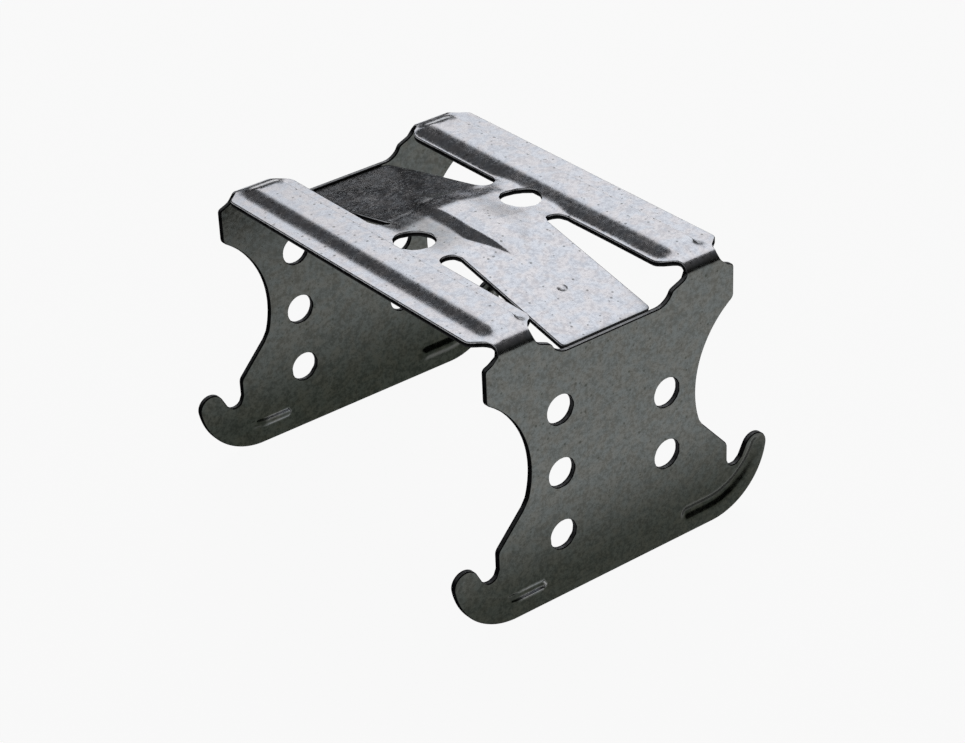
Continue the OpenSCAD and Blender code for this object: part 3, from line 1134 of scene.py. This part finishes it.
    def _lattice(self, edge_points: Array) -> Array:
        """Points between the edges, closer together where the sheet is shaped.

        Args:
            edge_points: Points from which the lattice keeps away.

        Returns:
            Points that lie in the metal.
        """
        s = self.sizes
        tree = self._tree(edge_points)
        half_v = s.on_blank(0)
        wide, long = self.spine_zone
        bend_from, bend_to = s.flat_y - self.bend_margin[0], s.leg_start + self.bend_margin[1]
        parts = []
        zones: list[tuple[float, Callable]] = [
            (self.pip_step, self._near_pip),
            (self.spine_step, lambda x, v: (np.abs(x) < wide) & (np.abs(v) < long)),
            (self.bend_step, lambda x, v: (np.abs(v) > bend_from) & (np.abs(v) < bend_to)),
            (self.groove_step, lambda x, v: self.forms.groove_distance(x, v) < self.groove_zone),
            (self.saddle_step, lambda x, v: np.abs(v) <= bend_from),
            (self.leg_step, lambda x, v: np.ones(len(x), bool)),
        ]
        taken: list[Callable] = []
        for step, zone in zones:
            rows = np.arange(-half_v, half_v + step, step * ROW_SHARE)
            columns = np.arange(-self.lattice_half, self.lattice_half + step, step)
            grid_x, grid_v = np.meshgrid(columns, rows)
            grid_x = grid_x + (np.arange(len(rows)) % 2)[:, None] * step / 2
            x, v = grid_x.ravel(), grid_v.ravel()
            wanted = zone(x, v)
            for other in taken:
                wanted &= ~other(x, v)
            taken.append(zone)
            points = np.column_stack([x, v])[wanted]
            parts.append(self._clear(points, tree, self.lattice_gap * min(step, self.saddle_step)))
        return np.vstack(parts)

    def _near_pip(self, x: Array, v: Array) -> Array:
        """Whether points lie on the pip or close to it."""
        return np.hypot(x, v - self.forms.pip_place) < self.forms.pip_r + self.pip_zone

    def _object(self, places: Array, normals: Array, triangles: Array, quads: Array) -> bpy.types.Object:
        """Writes the mesh and its attributes.

        Args:
            places: Points of the blank in millimetres.
            normals: Direction of the surface at each point.
            triangles: Faces of the two broad sides.
            quads: Faces of the sheared edges.

        Returns:
            The blank's object.
        """
        mesh = bpy.data.meshes.new(self.name)
        mesh.from_pydata((places * MM).tolist(), [], triangles.tolist() + quads.tolist())
        place, x = np.abs(places[:, 1]), np.abs(places[:, 0])
        s = self.sizes
        beside, beyond = self.tongue_margin
        on_tongue = (x < s.strip_in - beside) & (place > s.slot_start) & (place < s.tongue_end + beyond)
        sheared = np.zeros(len(mesh.polygons), bool)
        sheared[len(triangles) :] = True
        self._store(mesh, Attribute.TONGUE, "FLOAT", "POINT", on_tongue.astype(np.float32))
        self._store(mesh, Attribute.SHEARED, "BOOLEAN", "FACE", sheared)
        self._store(mesh, Attribute.BLANK_NORMAL, "FLOAT_VECTOR", "POINT", normals.astype(np.float32))
        # Painted shade, with a painted highlight beside the left grooves.
        self._store(mesh, Attribute.DULLNESS, "FLOAT", "POINT", self._painted_shade(places))
        mesh.shade_smooth()
        blank = bpy.data.objects.new(self.name, mesh)
        bpy.context.scene.collection.objects.link(blank)
        return blank

    @staticmethod
    def _store(mesh: bpy.types.Mesh, name: Attribute, kind: str, domain: str, values: Array) -> None:
        """Writes one attribute of the mesh."""
        made = mesh.attributes.new(name.value, kind, domain)
        made.data.foreach_set("vector" if kind == "FLOAT_VECTOR" else "value", values.ravel())

    def _painted_shade(self, places: Array) -> Array:
        """Painted shade: none on the saddle, grey on the legs, darker towards the feet and on the inner faces, with a
        painted highlight beside the left grooves.

        Args:
            places: Points of the blank in millimetres.

        Returns:
            One value for each point, from 0 to about 2.
        """
        s, f, w = self.sizes, self.forms, self.weather
        x, v, high = places.T
        place = np.abs(v)
        # Painted shade on the legs from part way round the bend, deeper towards the feet and on the inner faces.
        along = w.bend.at((place - s.flat_y) / s.bend_len)
        low = w.deep_shade.at(s.on_blank(0) - place)
        under = high < f.height(x, v) - s.thick / 2
        deep_shade = np.maximum(low, np.where(under, w.deep_shade_inside + (1 - w.deep_shade_inside) * low, 0))
        shaded = np.maximum(along, w.inside * under) + along * deep_shade
        # Painted highlight: less painted shade on a band of the left grooves' flank.
        groove_highlighted = w.groove_highlight_width.at(np.abs(f.groove_distance(x, v) - w.groove_highlight_place)) * (x < 0)
        groove_highlighted *= w.groove_highlight_end.at(f.groove_turn + x)
        # More painted shade on the rear tongue and beside the middle rib.
        rear = w.rear_along.at(v - s.slot_start) * (v < s.tongue_end + self.tongue_margin[1])
        rear *= w.rear_across.at(np.abs(x) - s.tongue_half)
        shaded = shaded * (1 - w.groove_highlight * groove_highlighted) + w.rear * rear + w.beside * w.beside_spine.at(x, v)
        return shaded.astype(np.float32)


class NodeBench:
    """Adds nodes to one tree and joins them."""

    def __init__(self, tree: bpy.types.NodeTree) -> None:
        """Starts on an empty tree."""
        self.tree = tree

    def add(self, kind: str, **settings: object) -> bpy.types.Node:
        """Adds a node.

        Args:
            kind: Blender's name of the node's type.
            settings: Values for the node's own properties.

        Returns:
            The new node.
        """
        node = self.tree.nodes.new(kind)
        for key, value in settings.items():
            setattr(node, key, value)
        return node

    def feed(self, socket: Socket, value: object) -> None:
        """Gives a socket a value, or joins it to another socket.

        Args:
            socket: The socket that is fed.
            value: A number, a colour or a socket.
        """
        if isinstance(value, bpy.types.NodeSocket):
            self.tree.links.new(value, socket)
        else:
            socket.default_value = value

    def math(self, operation: str, *values: Feed, clamp: bool = False) -> Socket:
        """Adds a Math node.

        Args:
            operation: Blender's name of the operation.
            values: Numbers or sockets, in the node's order.
            clamp: Whether the result is held to 0 to 1.

        Returns:
            The node's result.
        """
        node = self.add("ShaderNodeMath", operation=operation, use_clamp=clamp)
        for socket, value in zip(node.inputs, values):
            self.feed(socket, value)
        return node.outputs[0]

    def weigh(self, *terms: tuple) -> Socket:
        """Adds up sockets, each one times its weight.

        Args:
            terms: Pairs of a socket and its weight.

        Returns:
            The sum.
        """
        total = self.math("MULTIPLY", *terms[0])
        for socket, weight in terms[1:]:
            total = self.math("MULTIPLY_ADD", socket, weight, total)
        return total

    def mix(self, share: Feed, first: object, second: object, blend: str = "MIX", kind: str = "RGBA") -> Socket:
        """Adds a mix of two colours or two vectors.

        Args:
            share: How much of the second one there is.
            first: Colour, vector or socket.
            second: Colour, vector or socket.
            blend: Blender's name of the way to mix colours.
            kind: Blender's name of what is mixed.

        Returns:
            The mixed colour or vector.
        """
        one, other, mixed = MIX_SOCKETS[kind]
        node = self.add("ShaderNodeMix", data_type=kind, blend_type=blend)
        self.feed(node.inputs[0], share)
        self.feed(node.inputs[one], first)
        self.feed(node.inputs[other], second)
        return node.outputs[mixed]

    def attribute(self, name: Attribute, output: str) -> Socket:
        """Reads one of the blank's attributes in a material."""
        return self.add("ShaderNodeAttribute", attribute_name=name.value).outputs[output]

    def split(self, vector: Socket) -> Sequence[Socket]:
        """Parts a vector or a colour in its three numbers.

        Args:
            vector: The vector or colour.

        Returns:
            Three sockets.
        """
        node = self.add("ShaderNodeSeparateXYZ")
        self.feed(node.inputs[0], vector)
        return node.outputs

    def join(self, *numbers: Socket) -> Socket:
        """Makes a vector of three numbers.

        Args:
            numbers: Three numbers or sockets.

        Returns:
            The vector.
        """
        node = self.add("ShaderNodeCombineXYZ")
        for socket, number in zip(node.inputs, numbers):
            self.feed(socket, number)
        return node.outputs[0]

    def cells(self, place: Socket, scale: float) -> bpy.types.Node:
        """Adds a Voronoi texture with a number of cells in a metre.

        Args:
            place: Coordinates that it reads.
            scale: Cells in a metre.

        Returns:
            The node.
        """
        node = self.add("ShaderNodeTexVoronoi")
        self.feed(node.inputs["Vector"], place)
        self.feed(node.inputs["Scale"], scale)
        return node

    def bump(self, shader: bpy.types.Node, height: Socket, strength: float) -> None:
        """Gives a shader a bump of a fiftieth of a millimetre.

        Args:
            shader: The shader whose normal is bent.
            height: Height of the bump, about 0 to 1.
            strength: How strong it is.
        """
        node = self.add("ShaderNodeBump")
        self.feed(node.inputs["Strength"], strength)
        self.feed(node.inputs["Distance"], BUMP_DISTANCE)
        self.feed(node.inputs["Height"], height)
        self.feed(shader.inputs["Normal"], node.outputs["Normal"])

    def noise(self, place: Socket, scale: float, detail: float, rough: float = 0.55) -> Socket:
        """Adds a noise texture.

        Args:
            place: Coordinates that the noise reads.
            scale: Patterns in a metre.
            detail: Number of finer layers.
            rough: How strong the finer layers are.

        Returns:
            The noise's value, about 0 to 1.
        """
        node = self.add("ShaderNodeTexNoise")
        self.feed(node.inputs["Vector"], place)
        self.feed(node.inputs["Scale"], scale)
        self.feed(node.inputs["Detail"], detail)
        self.feed(node.inputs["Roughness"], rough)
        return node.outputs[0]

    def window(self, value: Socket, low: Feed, high: Feed, out_low: float = 0.0, out_high: float = 1.0) -> Socket:
        """Maps low to high onto another range and holds it there.

        Args:
            value: The number to map.
            low: Value that gives out_low.
            high: Value that gives out_high.
            out_low: Result at low.
            out_high: Result at high.

        Returns:
            The mapped number.
        """
        node = self.add("ShaderNodeMapRange", interpolation_type="SMOOTHSTEP")
        for socket, number in zip(list(node.inputs)[:5], (value, low, high, out_low, out_high)):
            self.feed(socket, number)
        return node.outputs[0]


def new_material(name: str) -> tuple:
    """Makes a material with the usual shader.

    Args:
        name: Name of the material.

    Returns:
        The material, a bench for its tree and its shader.
    """
    material = bpy.data.materials.new(name)
    material.use_nodes = True
    return material, NodeBench(material.node_tree), material.node_tree.nodes["Principled BSDF"]


@dataclass(frozen=True)
class GalvanisedFinish:
    """Hot-dip zinc on sheet steel: finely mottled, with painted shade that darkens it down the legs and more towards
    the feet.

    Scales are patterns in a metre. A range gives the two ends of a noise, or of a
    distance, between which a look changes, and then what it changes from and to.
    """

    name: str = "galvanised_sheet"
    bright: tuple = (0.70, 0.705, 0.752, 1.0)
    bright_shade: tuple = (0.49, 0.495, 0.54, 1.0)
    # Painted shade: the legs' colour, darkened as if they reflected dark surroundings; the second of the pair is its
    # darker mottle.
    shaded: tuple = (0.158, 0.166, 0.160, 1.0)
    shaded_dark: tuple = (0.104, 0.107, 0.099, 1.0)
    # Deep painted shade for the feet and the inner faces, with its darker mottle; the real dark specks and pits use
    # the first one too.
    deep_shade: tuple = (0.040, 0.044, 0.035, 1.0)
    deep_shade_dark: tuple = (0.020, 0.023, 0.018, 1.0)
    blue: tuple = (0.93, 1.0, 1.05, 1.0)
    warm: tuple = (1.04, 1.0, 0.96, 1.0)
    roughness: tuple = (0.17, 0.29)
    cloud_scale: float = 420.0
    grain_scale: float = 1500.0
    fine_scale: float = 3800.0
    weights: tuple = (0.25, 0.45, 0.30)
    mottle: tuple = (0.38, 0.60)
    rough_range: tuple = (0.3, 0.7)
    tint_scale: float = 520.0
    tint_range: tuple = (0.36, 0.64)
    tint_share: float = 0.5
    bump: float = 0.08
    spot_depth: float = 1.2
    speck_scale: float = 1050.0
    speck_share: float = 0.62
    speck_chance: tuple = (0.35, 0.65, 0.66, 0.30)
    speck_size: tuple = (0.12, 0.18)
    pit_scale: float = 900.0
    pit_share: float = 0.8
    pit_place: tuple = (0.0002, -0.0015, 0.0008)
    pit_reach: tuple = (0.0012, 0.0030)
    pit_size: tuple = (0.16, 0.30)

    def make(self) -> bpy.types.Material:
        """Builds the material.

        Returns:
            The material.
        """
        material, bench, shader = new_material(self.name)
        place = bench.attribute(Attribute.FLAT_PLACE, "Vector")
        dullness = bench.attribute(Attribute.DULLNESS, "Fac")
        cloud = bench.noise(place, self.cloud_scale, 2.0)
        grain = bench.noise(place, self.grain_scale, 2.0, 0.5)
        fine = bench.noise(place, self.fine_scale, 1.0, 0.5)
        mottled = bench.weigh(*zip((cloud, grain, fine), self.weights))
        shade = bench.window(mottled, *self.mottle)
        # Painted shade: the zinc darkens to the shaded legs' colour and on to the deep painted shade at the feet and
        # inside.
        shade_share = bench.math("MULTIPLY", dullness, 1.0, clamp=True)
        deep_shade_share = bench.math("SUBTRACT", dullness, 1.0, clamp=True)
        bright = bench.mix(shade, self.bright_shade, self.bright)
        shaded = bench.mix(shade, self.shaded_dark, self.shaded)
        deep_shade = bench.mix(shade, self.deep_shade_dark, self.deep_shade)
        zinc = bench.mix(deep_shade_share, bench.mix(shade_share, bright, shaded), deep_shade)
        hue = bench.window(bench.noise(place, self.tint_scale, 1.0), *self.tint_range)
        zinc = bench.mix(self.tint_share, zinc, bench.mix(hue, self.blue, self.warm), "MULTIPLY")
        specks = bench.math("MULTIPLY", self._specks(bench, place), self.speck_share)
        pits = bench.math("MULTIPLY", self._pits(bench, place), self.pit_share)
        spots = bench.math("MAXIMUM", specks, pits)
        # The real dark specks and pits take the colour of the deep painted shade.
        bench.feed(shader.inputs["Base Color"], bench.mix(spots, zinc, self.deep_shade))
        shader.inputs["Metallic"].default_value = 1.0
        bench.feed(shader.inputs["Roughness"], bench.window(mottled, *self.rough_range, *self.roughness))
        bench.bump(shader, bench.math("MULTIPLY_ADD", spots, -self.spot_depth, mottled), self.bump)
        return material

    def _specks(self, bench: NodeBench, place: Socket) -> Socket:
        """Small round dark specks, one in some of the cells and more of them in patches.

        Args:
            bench: The material's bench.
            place: Coordinates on the blank.

        Returns:
            1 in a speck and 0 elsewhere.
        """
        cells = bench.cells(place, self.speck_scale)
        chance = bench.split(cells.outputs["Color"])
        patches = bench.window(bench.noise(place, self.cloud_scale / 2, 1.0), *self.speck_chance)
        chosen = bench.math("GREATER_THAN", chance[0], patches)
        least, more = self.speck_size
        reach = bench.math("MULTIPLY_ADD", chance[1], more, least)
        inner = bench.math("MULTIPLY", reach, 0.5)
        return bench.math("MULTIPLY", chosen, bench.window(cells.outputs["Distance"], inner, reach, 1.0, 0.0))

    def _pits(self, bench: NodeBench, place: Socket) -> Socket:
        """Patch of small pits on the middle rib's crest.

        Args:
            bench: The material's bench.
            place: Coordinates on the blank.

        Returns:
            1 in a pit and 0 elsewhere.
        """
        away = bench.add("ShaderNodeVectorMath", operation="DISTANCE")
        bench.feed(away.inputs[0], place)
        away.inputs[1].default_value = self.pit_place
        near = bench.window(away.outputs["Value"], *self.pit_reach, 1.0, 0.0)
        cells = bench.cells(place, self.pit_scale)
        return bench.math("MULTIPLY", near, bench.window(cells.outputs["Distance"], *self.pit_size, 1.0, 0.0))


@dataclass(frozen=True)
class ShearedEdgeFinish:
    """Punched edge of the sheet: painted near black as shade, under a painted highlight that partly stands for a real
    burnished band.
    """

    name: str = "sheared_edge"
    # Painted highlight colour; metal and shade below are the near-black painted shade of the edge.
    lit: tuple = (0.62, 0.63, 0.66, 1.0)
    metal: tuple = (0.020, 0.020, 0.021, 1.0)
    shade: tuple = (0.007, 0.007, 0.008, 1.0)
    line_scale: float = 3600.0
    line_squeeze: tuple = (1.0, 1.0, 0.3)
    cloud_scale: float = 900.0
    weights: tuple = (0.4, 0.6)
    torn_and_shaded_range: tuple = (0.38, 0.62)
    lit_range: tuple = (0.30, 0.55, 0.6, 1.0)
    roughness: tuple = (0.3, 0.7, 0.30, 0.42)
    bump: float = 0.2

    def make(self) -> bpy.types.Material:
        """Builds the material.

        Returns:
            The material.
        """
        material, bench, shader = new_material(self.name)
        place = bench.attribute(Attribute.FLAT_PLACE, "Vector")
        light = bench.attribute(Attribute.RIM_LIGHT, "Fac")
        squeeze = bench.add("ShaderNodeMapping")
        squeeze.inputs["Scale"].default_value = self.line_squeeze
        bench.feed(squeeze.inputs["Vector"], place)
        lines = bench.noise(squeeze.outputs[0], self.line_scale, 1.0)
        cloud = bench.noise(place, self.cloud_scale, 2.0)
        both = bench.weigh(*zip((lines, cloud), self.weights))
        # Painted shade: the torn edge mixed between two near-black colours.
        torn_and_shaded = bench.mix(bench.window(both, *self.torn_and_shaded_range), self.shade, self.metal)
        # Painted highlight, as strong as the rim_light attribute paints it.
        share = bench.math("MULTIPLY", light, bench.window(both, *self.lit_range))
        bench.feed(shader.inputs["Base Color"], bench.mix(share, torn_and_shaded, self.lit))
        bench.feed(shader.inputs["Metallic"], share)
        shader.inputs["Specular IOR Level"].default_value = 0.0
        bench.feed(shader.inputs["Roughness"], bench.window(cloud, *self.roughness))
        bench.bump(shader, lines, self.bump)
        return material


@dataclass
class FoldTree:
    """Geometry Nodes tree that folds the blank over its bends."""

    sizes: SheetSizes
    faces: bpy.types.Material
    edges: bpy.types.Material
    name: str = "fold_blank"

    def tree(self) -> tuple:
        """Builds the tree.

        Returns:
            The node group, and the values for its inputs by socket identifier.
        """
        s = self.sizes
        group = bpy.data.node_groups.new(self.name, "GeometryNodeTree")
        bench = NodeBench(group)
        group.interface.new_socket("Geometry", in_out="INPUT", socket_type="NodeSocketGeometry")
        sizes = {
            "Bend Line": s.flat_y,
            "Bend Radius": s.bend_out,
            "Bend Length": s.bend_len,
            "Bend Axis Height": s.straight_z,
            "Root Line": s.slot_start,
            "Root Radius": s.tongue_bend,
            "Root Length": s.root_len,
            "Root Axis Height": s.height - s.tongue_bend,
        }
        values = {}
        angles = {"Bend Angle": math.pi / 2, "Tongue Angle": s.tongue_angle}
        for label, value in ({label: size * MM for label, size in sizes.items()} | angles).items():
            socket = group.interface.new_socket(label, in_out="INPUT", socket_type="NodeSocketFloat")
            values[socket.identifier] = value
        group.interface.new_socket("Geometry", in_out="OUTPUT", socket_type="NodeSocketGeometry")
        start = bench.add("NodeGroupInput")
        leg = self._fold(bench, start, ("Bend Line", "Bend Radius", "Bend Length", "Bend Axis Height", "Bend Angle"))
        root = ("Root Line", "Root Radius", "Root Length", "Root Axis Height", "Tongue Angle")
        tongue = self._fold(bench, start, root)
        mask = self._named(bench, Attribute.TONGUE, "FLOAT")
        place, normal = (bench.mix(mask, *pair, kind="VECTOR") for pair in zip(leg, tongue))
        laid = bench.add("GeometryNodeInputPosition").outputs[0]
        flat = self._keep(bench, start.outputs["Geometry"], Attribute.FLAT_PLACE, laid)
        turned = self._keep(bench, flat, Attribute.FOLDED_NORMAL, normal)
        move = bench.add("GeometryNodeSetPosition")
        bench.feed(move.inputs["Geometry"], turned)
        bench.feed(move.inputs["Position"], place)
        real = bench.add("GeometryNodeRealizeInstances")
        bench.feed(real.inputs["Geometry"], move.outputs["Geometry"])
        broad = self._paint(bench, real.outputs["Geometry"], self.faces)
        rim = self._paint(bench, broad.outputs["Geometry"], self.edges)
        bench.feed(rim.inputs["Selection"], self._named(bench, Attribute.SHEARED, "BOOLEAN"))
        end = bench.add("NodeGroupOutput")
        bench.feed(end.inputs["Geometry"], rim.outputs["Geometry"])
        return group, values

    @staticmethod
    def _paint(bench: NodeBench, geometry: Socket, material: bpy.types.Material) -> bpy.types.Node:
        """Sets a material on the geometry.

        Args:
            bench: The tree's bench.
            geometry: What is painted.
            material: The material.

        Returns:
            The node, whose selection is still open.
        """
        node = bench.add("GeometryNodeSetMaterial")
        node.inputs["Material"].default_value = material
        bench.feed(node.inputs["Geometry"], geometry)
        return node

    @staticmethod
    def _named(bench: NodeBench, name: Attribute, kind: str) -> Socket:
        """Reads an attribute of the blank.

        Args:
            bench: The tree's bench.
            name: The attribute.
            kind: Blender's name of its type.

        Returns:
            The attribute's value.
        """
        node = bench.add("GeometryNodeInputNamedAttribute", data_type=kind)
        node.inputs["Name"].default_value = name.value
        return node.outputs["Attribute"]

    @staticmethod
    def _keep(bench: NodeBench, geometry: Socket, name: Attribute, value: Socket) -> Socket:
        """Stores a vector on the points of the geometry.

        Args:
            bench: The tree's bench.
            geometry: What the vector is stored on.
            name: The attribute.
            value: The vector.

        Returns:
            The geometry with the attribute.
        """
        node = bench.add("GeometryNodeStoreNamedAttribute", data_type="FLOAT_VECTOR", domain="POINT")
        node.inputs["Name"].default_value = name.value
        bench.feed(node.inputs["Geometry"], geometry)
        bench.feed(node.inputs["Value"], value)
        return node.outputs["Geometry"]

    def _fold(self, bench: NodeBench, start: bpy.types.Node, labels: Sequence[str]) -> tuple:
        """Folds places and directions over one bend, the same on both sides.

        Args:
            bench: The tree's bench.
            start: The group input node.
            labels: Inputs for the line, radius, length, axis height and angle.

        Returns:
            The folded place and the folded direction.
        """
        line, radius, length, axis, angle = (start.outputs[label] for label in labels)
        x, v, w = bench.split(bench.add("GeometryNodeInputPosition").outputs[0])
        side = bench.math("SIGN", v)
        away = bench.math("ABSOLUTE", v)
        past = bench.math("SUBTRACT", away, line)
        turn = bench.math("MULTIPLY", bench.math("DIVIDE", past, length, clamp=True), angle)
        rest = bench.math("MAXIMUM", bench.math("SUBTRACT", past, length), 0.0)
        sine, cosine = bench.math("SINE", turn), bench.math("COSINE", turn)
        spoke = bench.math("ADD", radius, w)
        out = bench.math("MULTIPLY_ADD", spoke, sine, bench.math("MINIMUM", away, line))
        out = bench.math("MULTIPLY_ADD", rest, cosine, out)
        high = bench.math("MULTIPLY_ADD", spoke, cosine, axis)
        high = bench.math("SUBTRACT", high, bench.math("MULTIPLY", rest, sine))
        folded = bench.join(x, bench.math("MULTIPLY", side, out), high)
        lie_x, lie_v, lie_w = bench.split(self._named(bench, Attribute.BLANK_NORMAL, "FLOAT_VECTOR"))
        lean = bench.math("MULTIPLY", side, sine)
        along = bench.math("MULTIPLY_ADD", lie_w, lean, bench.math("MULTIPLY", lie_v, cosine))
        up = bench.math("SUBTRACT", bench.math("MULTIPLY", lie_w, cosine), bench.math("MULTIPLY", lie_v, lean))
        return folded, bench.join(lie_x, along, up)

    def fold(self, blank: bpy.types.Object) -> bpy.types.Object:
        """Folds the blank and bakes the result to a plain mesh.

        Args:
            blank: The flat blank.

        Returns:
            The same object with its folded mesh and no modifier.
        """
        group, values = self.tree()
        modifier = blank.modifiers.new("fold", "NODES")
        modifier.node_group = group
        for identifier, value in values.items():
            modifier[identifier] = value
        flat = blank.data
        shaped = blank.evaluated_get(bpy.context.evaluated_depsgraph_get())
        baked = bpy.data.meshes.new_from_object(shaped)
        blank.modifiers.remove(modifier)
        blank.data = baked
        baked.name = blank.name
        bpy.data.meshes.remove(flat)
        self._set_normals(baked)
        return blank

    @staticmethod
    def _set_normals(mesh: bpy.types.Mesh) -> None:
        """Gives the mesh its exact surface directions.

        Args:
            mesh: The baked mesh.
        """
        directions = np.zeros(len(mesh.vertices) * 3, np.float32)
        mesh.attributes[Attribute.FOLDED_NORMAL.value].data.foreach_get("vector", directions)
        mesh.normals_split_custom_set_from_vertices(directions.reshape(-1, 3).tolist())
        for name in (Attribute.FOLDED_NORMAL, Attribute.BLANK_NORMAL, Attribute.TONGUE, Attribute.SHEARED):
            mesh.attributes.remove(mesh.attributes[name.value])


@dataclass
class Connector:
    """The connector: one folded sheet in place of the CAD node."""

    sizes: SheetSizes = field(default_factory=SheetSizes)
    node: str = "clip"
    body: str = "root"
    slot: str = "galvanised_steel"

    def build(self) -> bpy.types.Object:
        """Builds the folded sheet and hands it to the frame.

        Returns:
            The finished piece.
        """
        blank = BlankMesh(self.sizes, BlankOutline(self.sizes), PressedForms(self.sizes)).build()
        LOG.info("blank laid out: %d points, %d faces", len(blank.data.vertices), len(blank.data.polygons))
        sheet = FoldTree(self.sizes, GalvanisedFinish().make(), ShearedEdgeFinish().make()).fold(blank)
        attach(sheet, self.body)
        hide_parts(self.node)
        LOG.info("sheet folded: %d faces", len(sheet.data.polygons))
        return sheet


@dataclass(frozen=True)
class FloorFinish:
    """Pale studio floor that keeps the object's shadow."""

    name: str = "studio_floor"
    paint: tuple = (0.86, 0.86, 0.86, 1.0)
    share: float = 0.93

    def make(self) -> bpy.types.Material:
        """Builds the material.

        Returns:
            The material.
        """
        material = bpy.data.materials.new(self.name)
        material.use_nodes = True
        tree = material.node_tree
        tree.nodes.clear()
        bench = NodeBench(tree)
        path = bench.add("ShaderNodeLightPath")
        seen = bench.math("MAXIMUM", path.outputs["Is Camera Ray"], path.outputs["Is Glossy Ray"])
        seen = bench.math("MAXIMUM", seen, path.outputs["Is Transmission Ray"])
        paint = bench.add("ShaderNodeBsdfDiffuse")
        paint.inputs["Color"].default_value = self.paint
        glow = bench.add("ShaderNodeEmission")
        glow.inputs["Strength"].default_value = 1.0
        mixed = bench.add("ShaderNodeMixShader")
        bench.feed(mixed.inputs[0], bench.math("MULTIPLY", seen, self.share))
        bench.feed(mixed.inputs[1], paint.outputs[0])
        bench.feed(mixed.inputs[2], glow.outputs[0])
        end = bench.add("ShaderNodeOutputMaterial")
        bench.feed(end.inputs["Surface"], mixed.outputs[0])
        return material


@dataclass(frozen=True)
class Softbox:
    """Rectangular lamp that faces the object, with its long side along an axis."""

    name: str
    direction: tuple
    distance: float
    size: tuple
    radiance: float
    axis: tuple = (0.0, 0.0, 1.0)
    aim: tuple = (0.0, 0.0, 0.03)

    def make(self) -> bpy.types.Object:
        """Builds the lamp.

        Returns:
            The lamp's object.
        """
        lamp = bpy.data.lights.new(self.name, "AREA")
        lamp.shape = "RECTANGLE"
        lamp.size, lamp.size_y = self.size
        lamp.energy = self.radiance * math.pi * self.size[0] * self.size[1]
        thing = bpy.data.objects.new(self.name, lamp)
        away = Vector(self.direction).normalized()
        across = Vector(self.axis)
        across = (across - away * across.dot(away)).normalized()
        axes = Matrix((across, away.cross(across), away)).transposed().to_4x4()
        thing.matrix_world = Matrix.Translation(Vector(self.aim) + away * self.distance) @ axes
        bpy.context.scene.collection.objects.link(thing)
        return thing


@dataclass
class Studio:
    """Floor, lamps, world and camera.

    The lamps are a long key behind on the right, a low one beside it and a weak fill.
    """

    focal_px: float = 2758.372
    frame_px: int = 965
    sensor: float = 36.0
    azimuth: float = -37.294
    elevation: float = 30.478
    roll: float = -2.48
    offset: tuple = (0.419, 15.423, 409.406)
    lift: float = 0.635
    clip: tuple = (0.01, 20.0)
    floor_half: float = 3.0
    sky: tuple = (0.1, 0.6, 0.02, 0.09)  # two heights of the direction, and how bright it is at each
    lamps: tuple = (
        Softbox("key_softbox", (0.547, 0.461, 0.700), 0.75, (0.77, 0.42), 1.03, (0.0, -0.875, 0.485)),
        Softbox("side_softbox", (0.755, 0.63, 0.13), 0.9, (0.2, 0.2), 0.6),
        Softbox("fill_softbox", (-0.58, -0.70, 0.44), 1.2, (0.8, 0.9), 0.75),
    )

    def build(self) -> None:
        """Builds the whole studio."""
        self._floor()
        for lamp in self.lamps:
            lamp.make()
            LOG.info("%s lit", lamp.name)
        self._world()
        self._camera()
        bpy.context.scene.view_settings.view_transform = "Standard"

    def _floor(self) -> None:
        """Flat floor under the feet."""
        half = self.floor_half
        mesh = bpy.data.meshes.new("floor")
        mesh.from_pydata([(-half, -half, 0), (half, -half, 0), (half, half, 0), (-half, half, 0)], [], [(0, 1, 2, 3)])
        floor = bpy.data.objects.new("floor", mesh)
        mesh.materials.append(FloorFinish().make())
        bpy.context.scene.collection.objects.link(floor)

    def _world(self) -> None:
        """Dark round about and grey overhead, from every side the same."""
        world = bpy.data.worlds.new("studio_world")
        world.use_nodes = True
        bpy.context.scene.world = world
        tree = world.node_tree
        tree.nodes.clear()
        bench = NodeBench(tree)
        direction = bench.split(bench.add("ShaderNodeTexCoord").outputs["Generated"])
        level = bench.window(direction[2], *self.sky)
        background = bench.add("ShaderNodeBackground")
        bench.feed(background.inputs["Strength"], level)
        end = bench.add("ShaderNodeOutputWorld")
        bench.feed(end.inputs["Surface"], background.outputs[0])

    def _camera(self) -> None:
        """Camera at the photograph's place and angle."""
        az, el, roll = (math.radians(a) for a in (self.azimuth, self.elevation, self.roll))
        back = Vector((math.sin(az) * math.cos(el), -math.cos(az) * math.cos(el), math.sin(el)))
        right = Vector((math.cos(az), math.sin(az), 0.0))
        up = back.cross(right)
        across = right * math.cos(roll) + up * math.sin(roll)
        upward = up * math.cos(roll) - right * math.sin(roll)
        place = (across * self.offset[0] + upward * self.offset[1] + back * self.offset[2]) * MM
        place.z += self.lift * MM
        lens = bpy.data.cameras.new("camera")
        lens.sensor_width = self.sensor
        lens.lens = self.focal_px / self.frame_px * self.sensor
        lens.clip_start, lens.clip_end = self.clip
        camera = bpy.data.objects.new("camera", lens)
        axes = Matrix((across, upward, back)).transposed().to_4x4()
        camera.matrix_world = Matrix.Translation(place) @ axes
        bpy.context.scene.collection.objects.link(camera)
        bpy.context.scene.camera = camera


def main() -> Optional[dict]:
    """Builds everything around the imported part.

    Returns:
        The frame that was loaded.
    """
    logging.basicConfig(level=logging.INFO, format="%(name)s: %(message)s")
    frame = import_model()
    Connector().build()
    Studio().build()
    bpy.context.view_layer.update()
    return frame


if __name__ == "__main__":
    main()
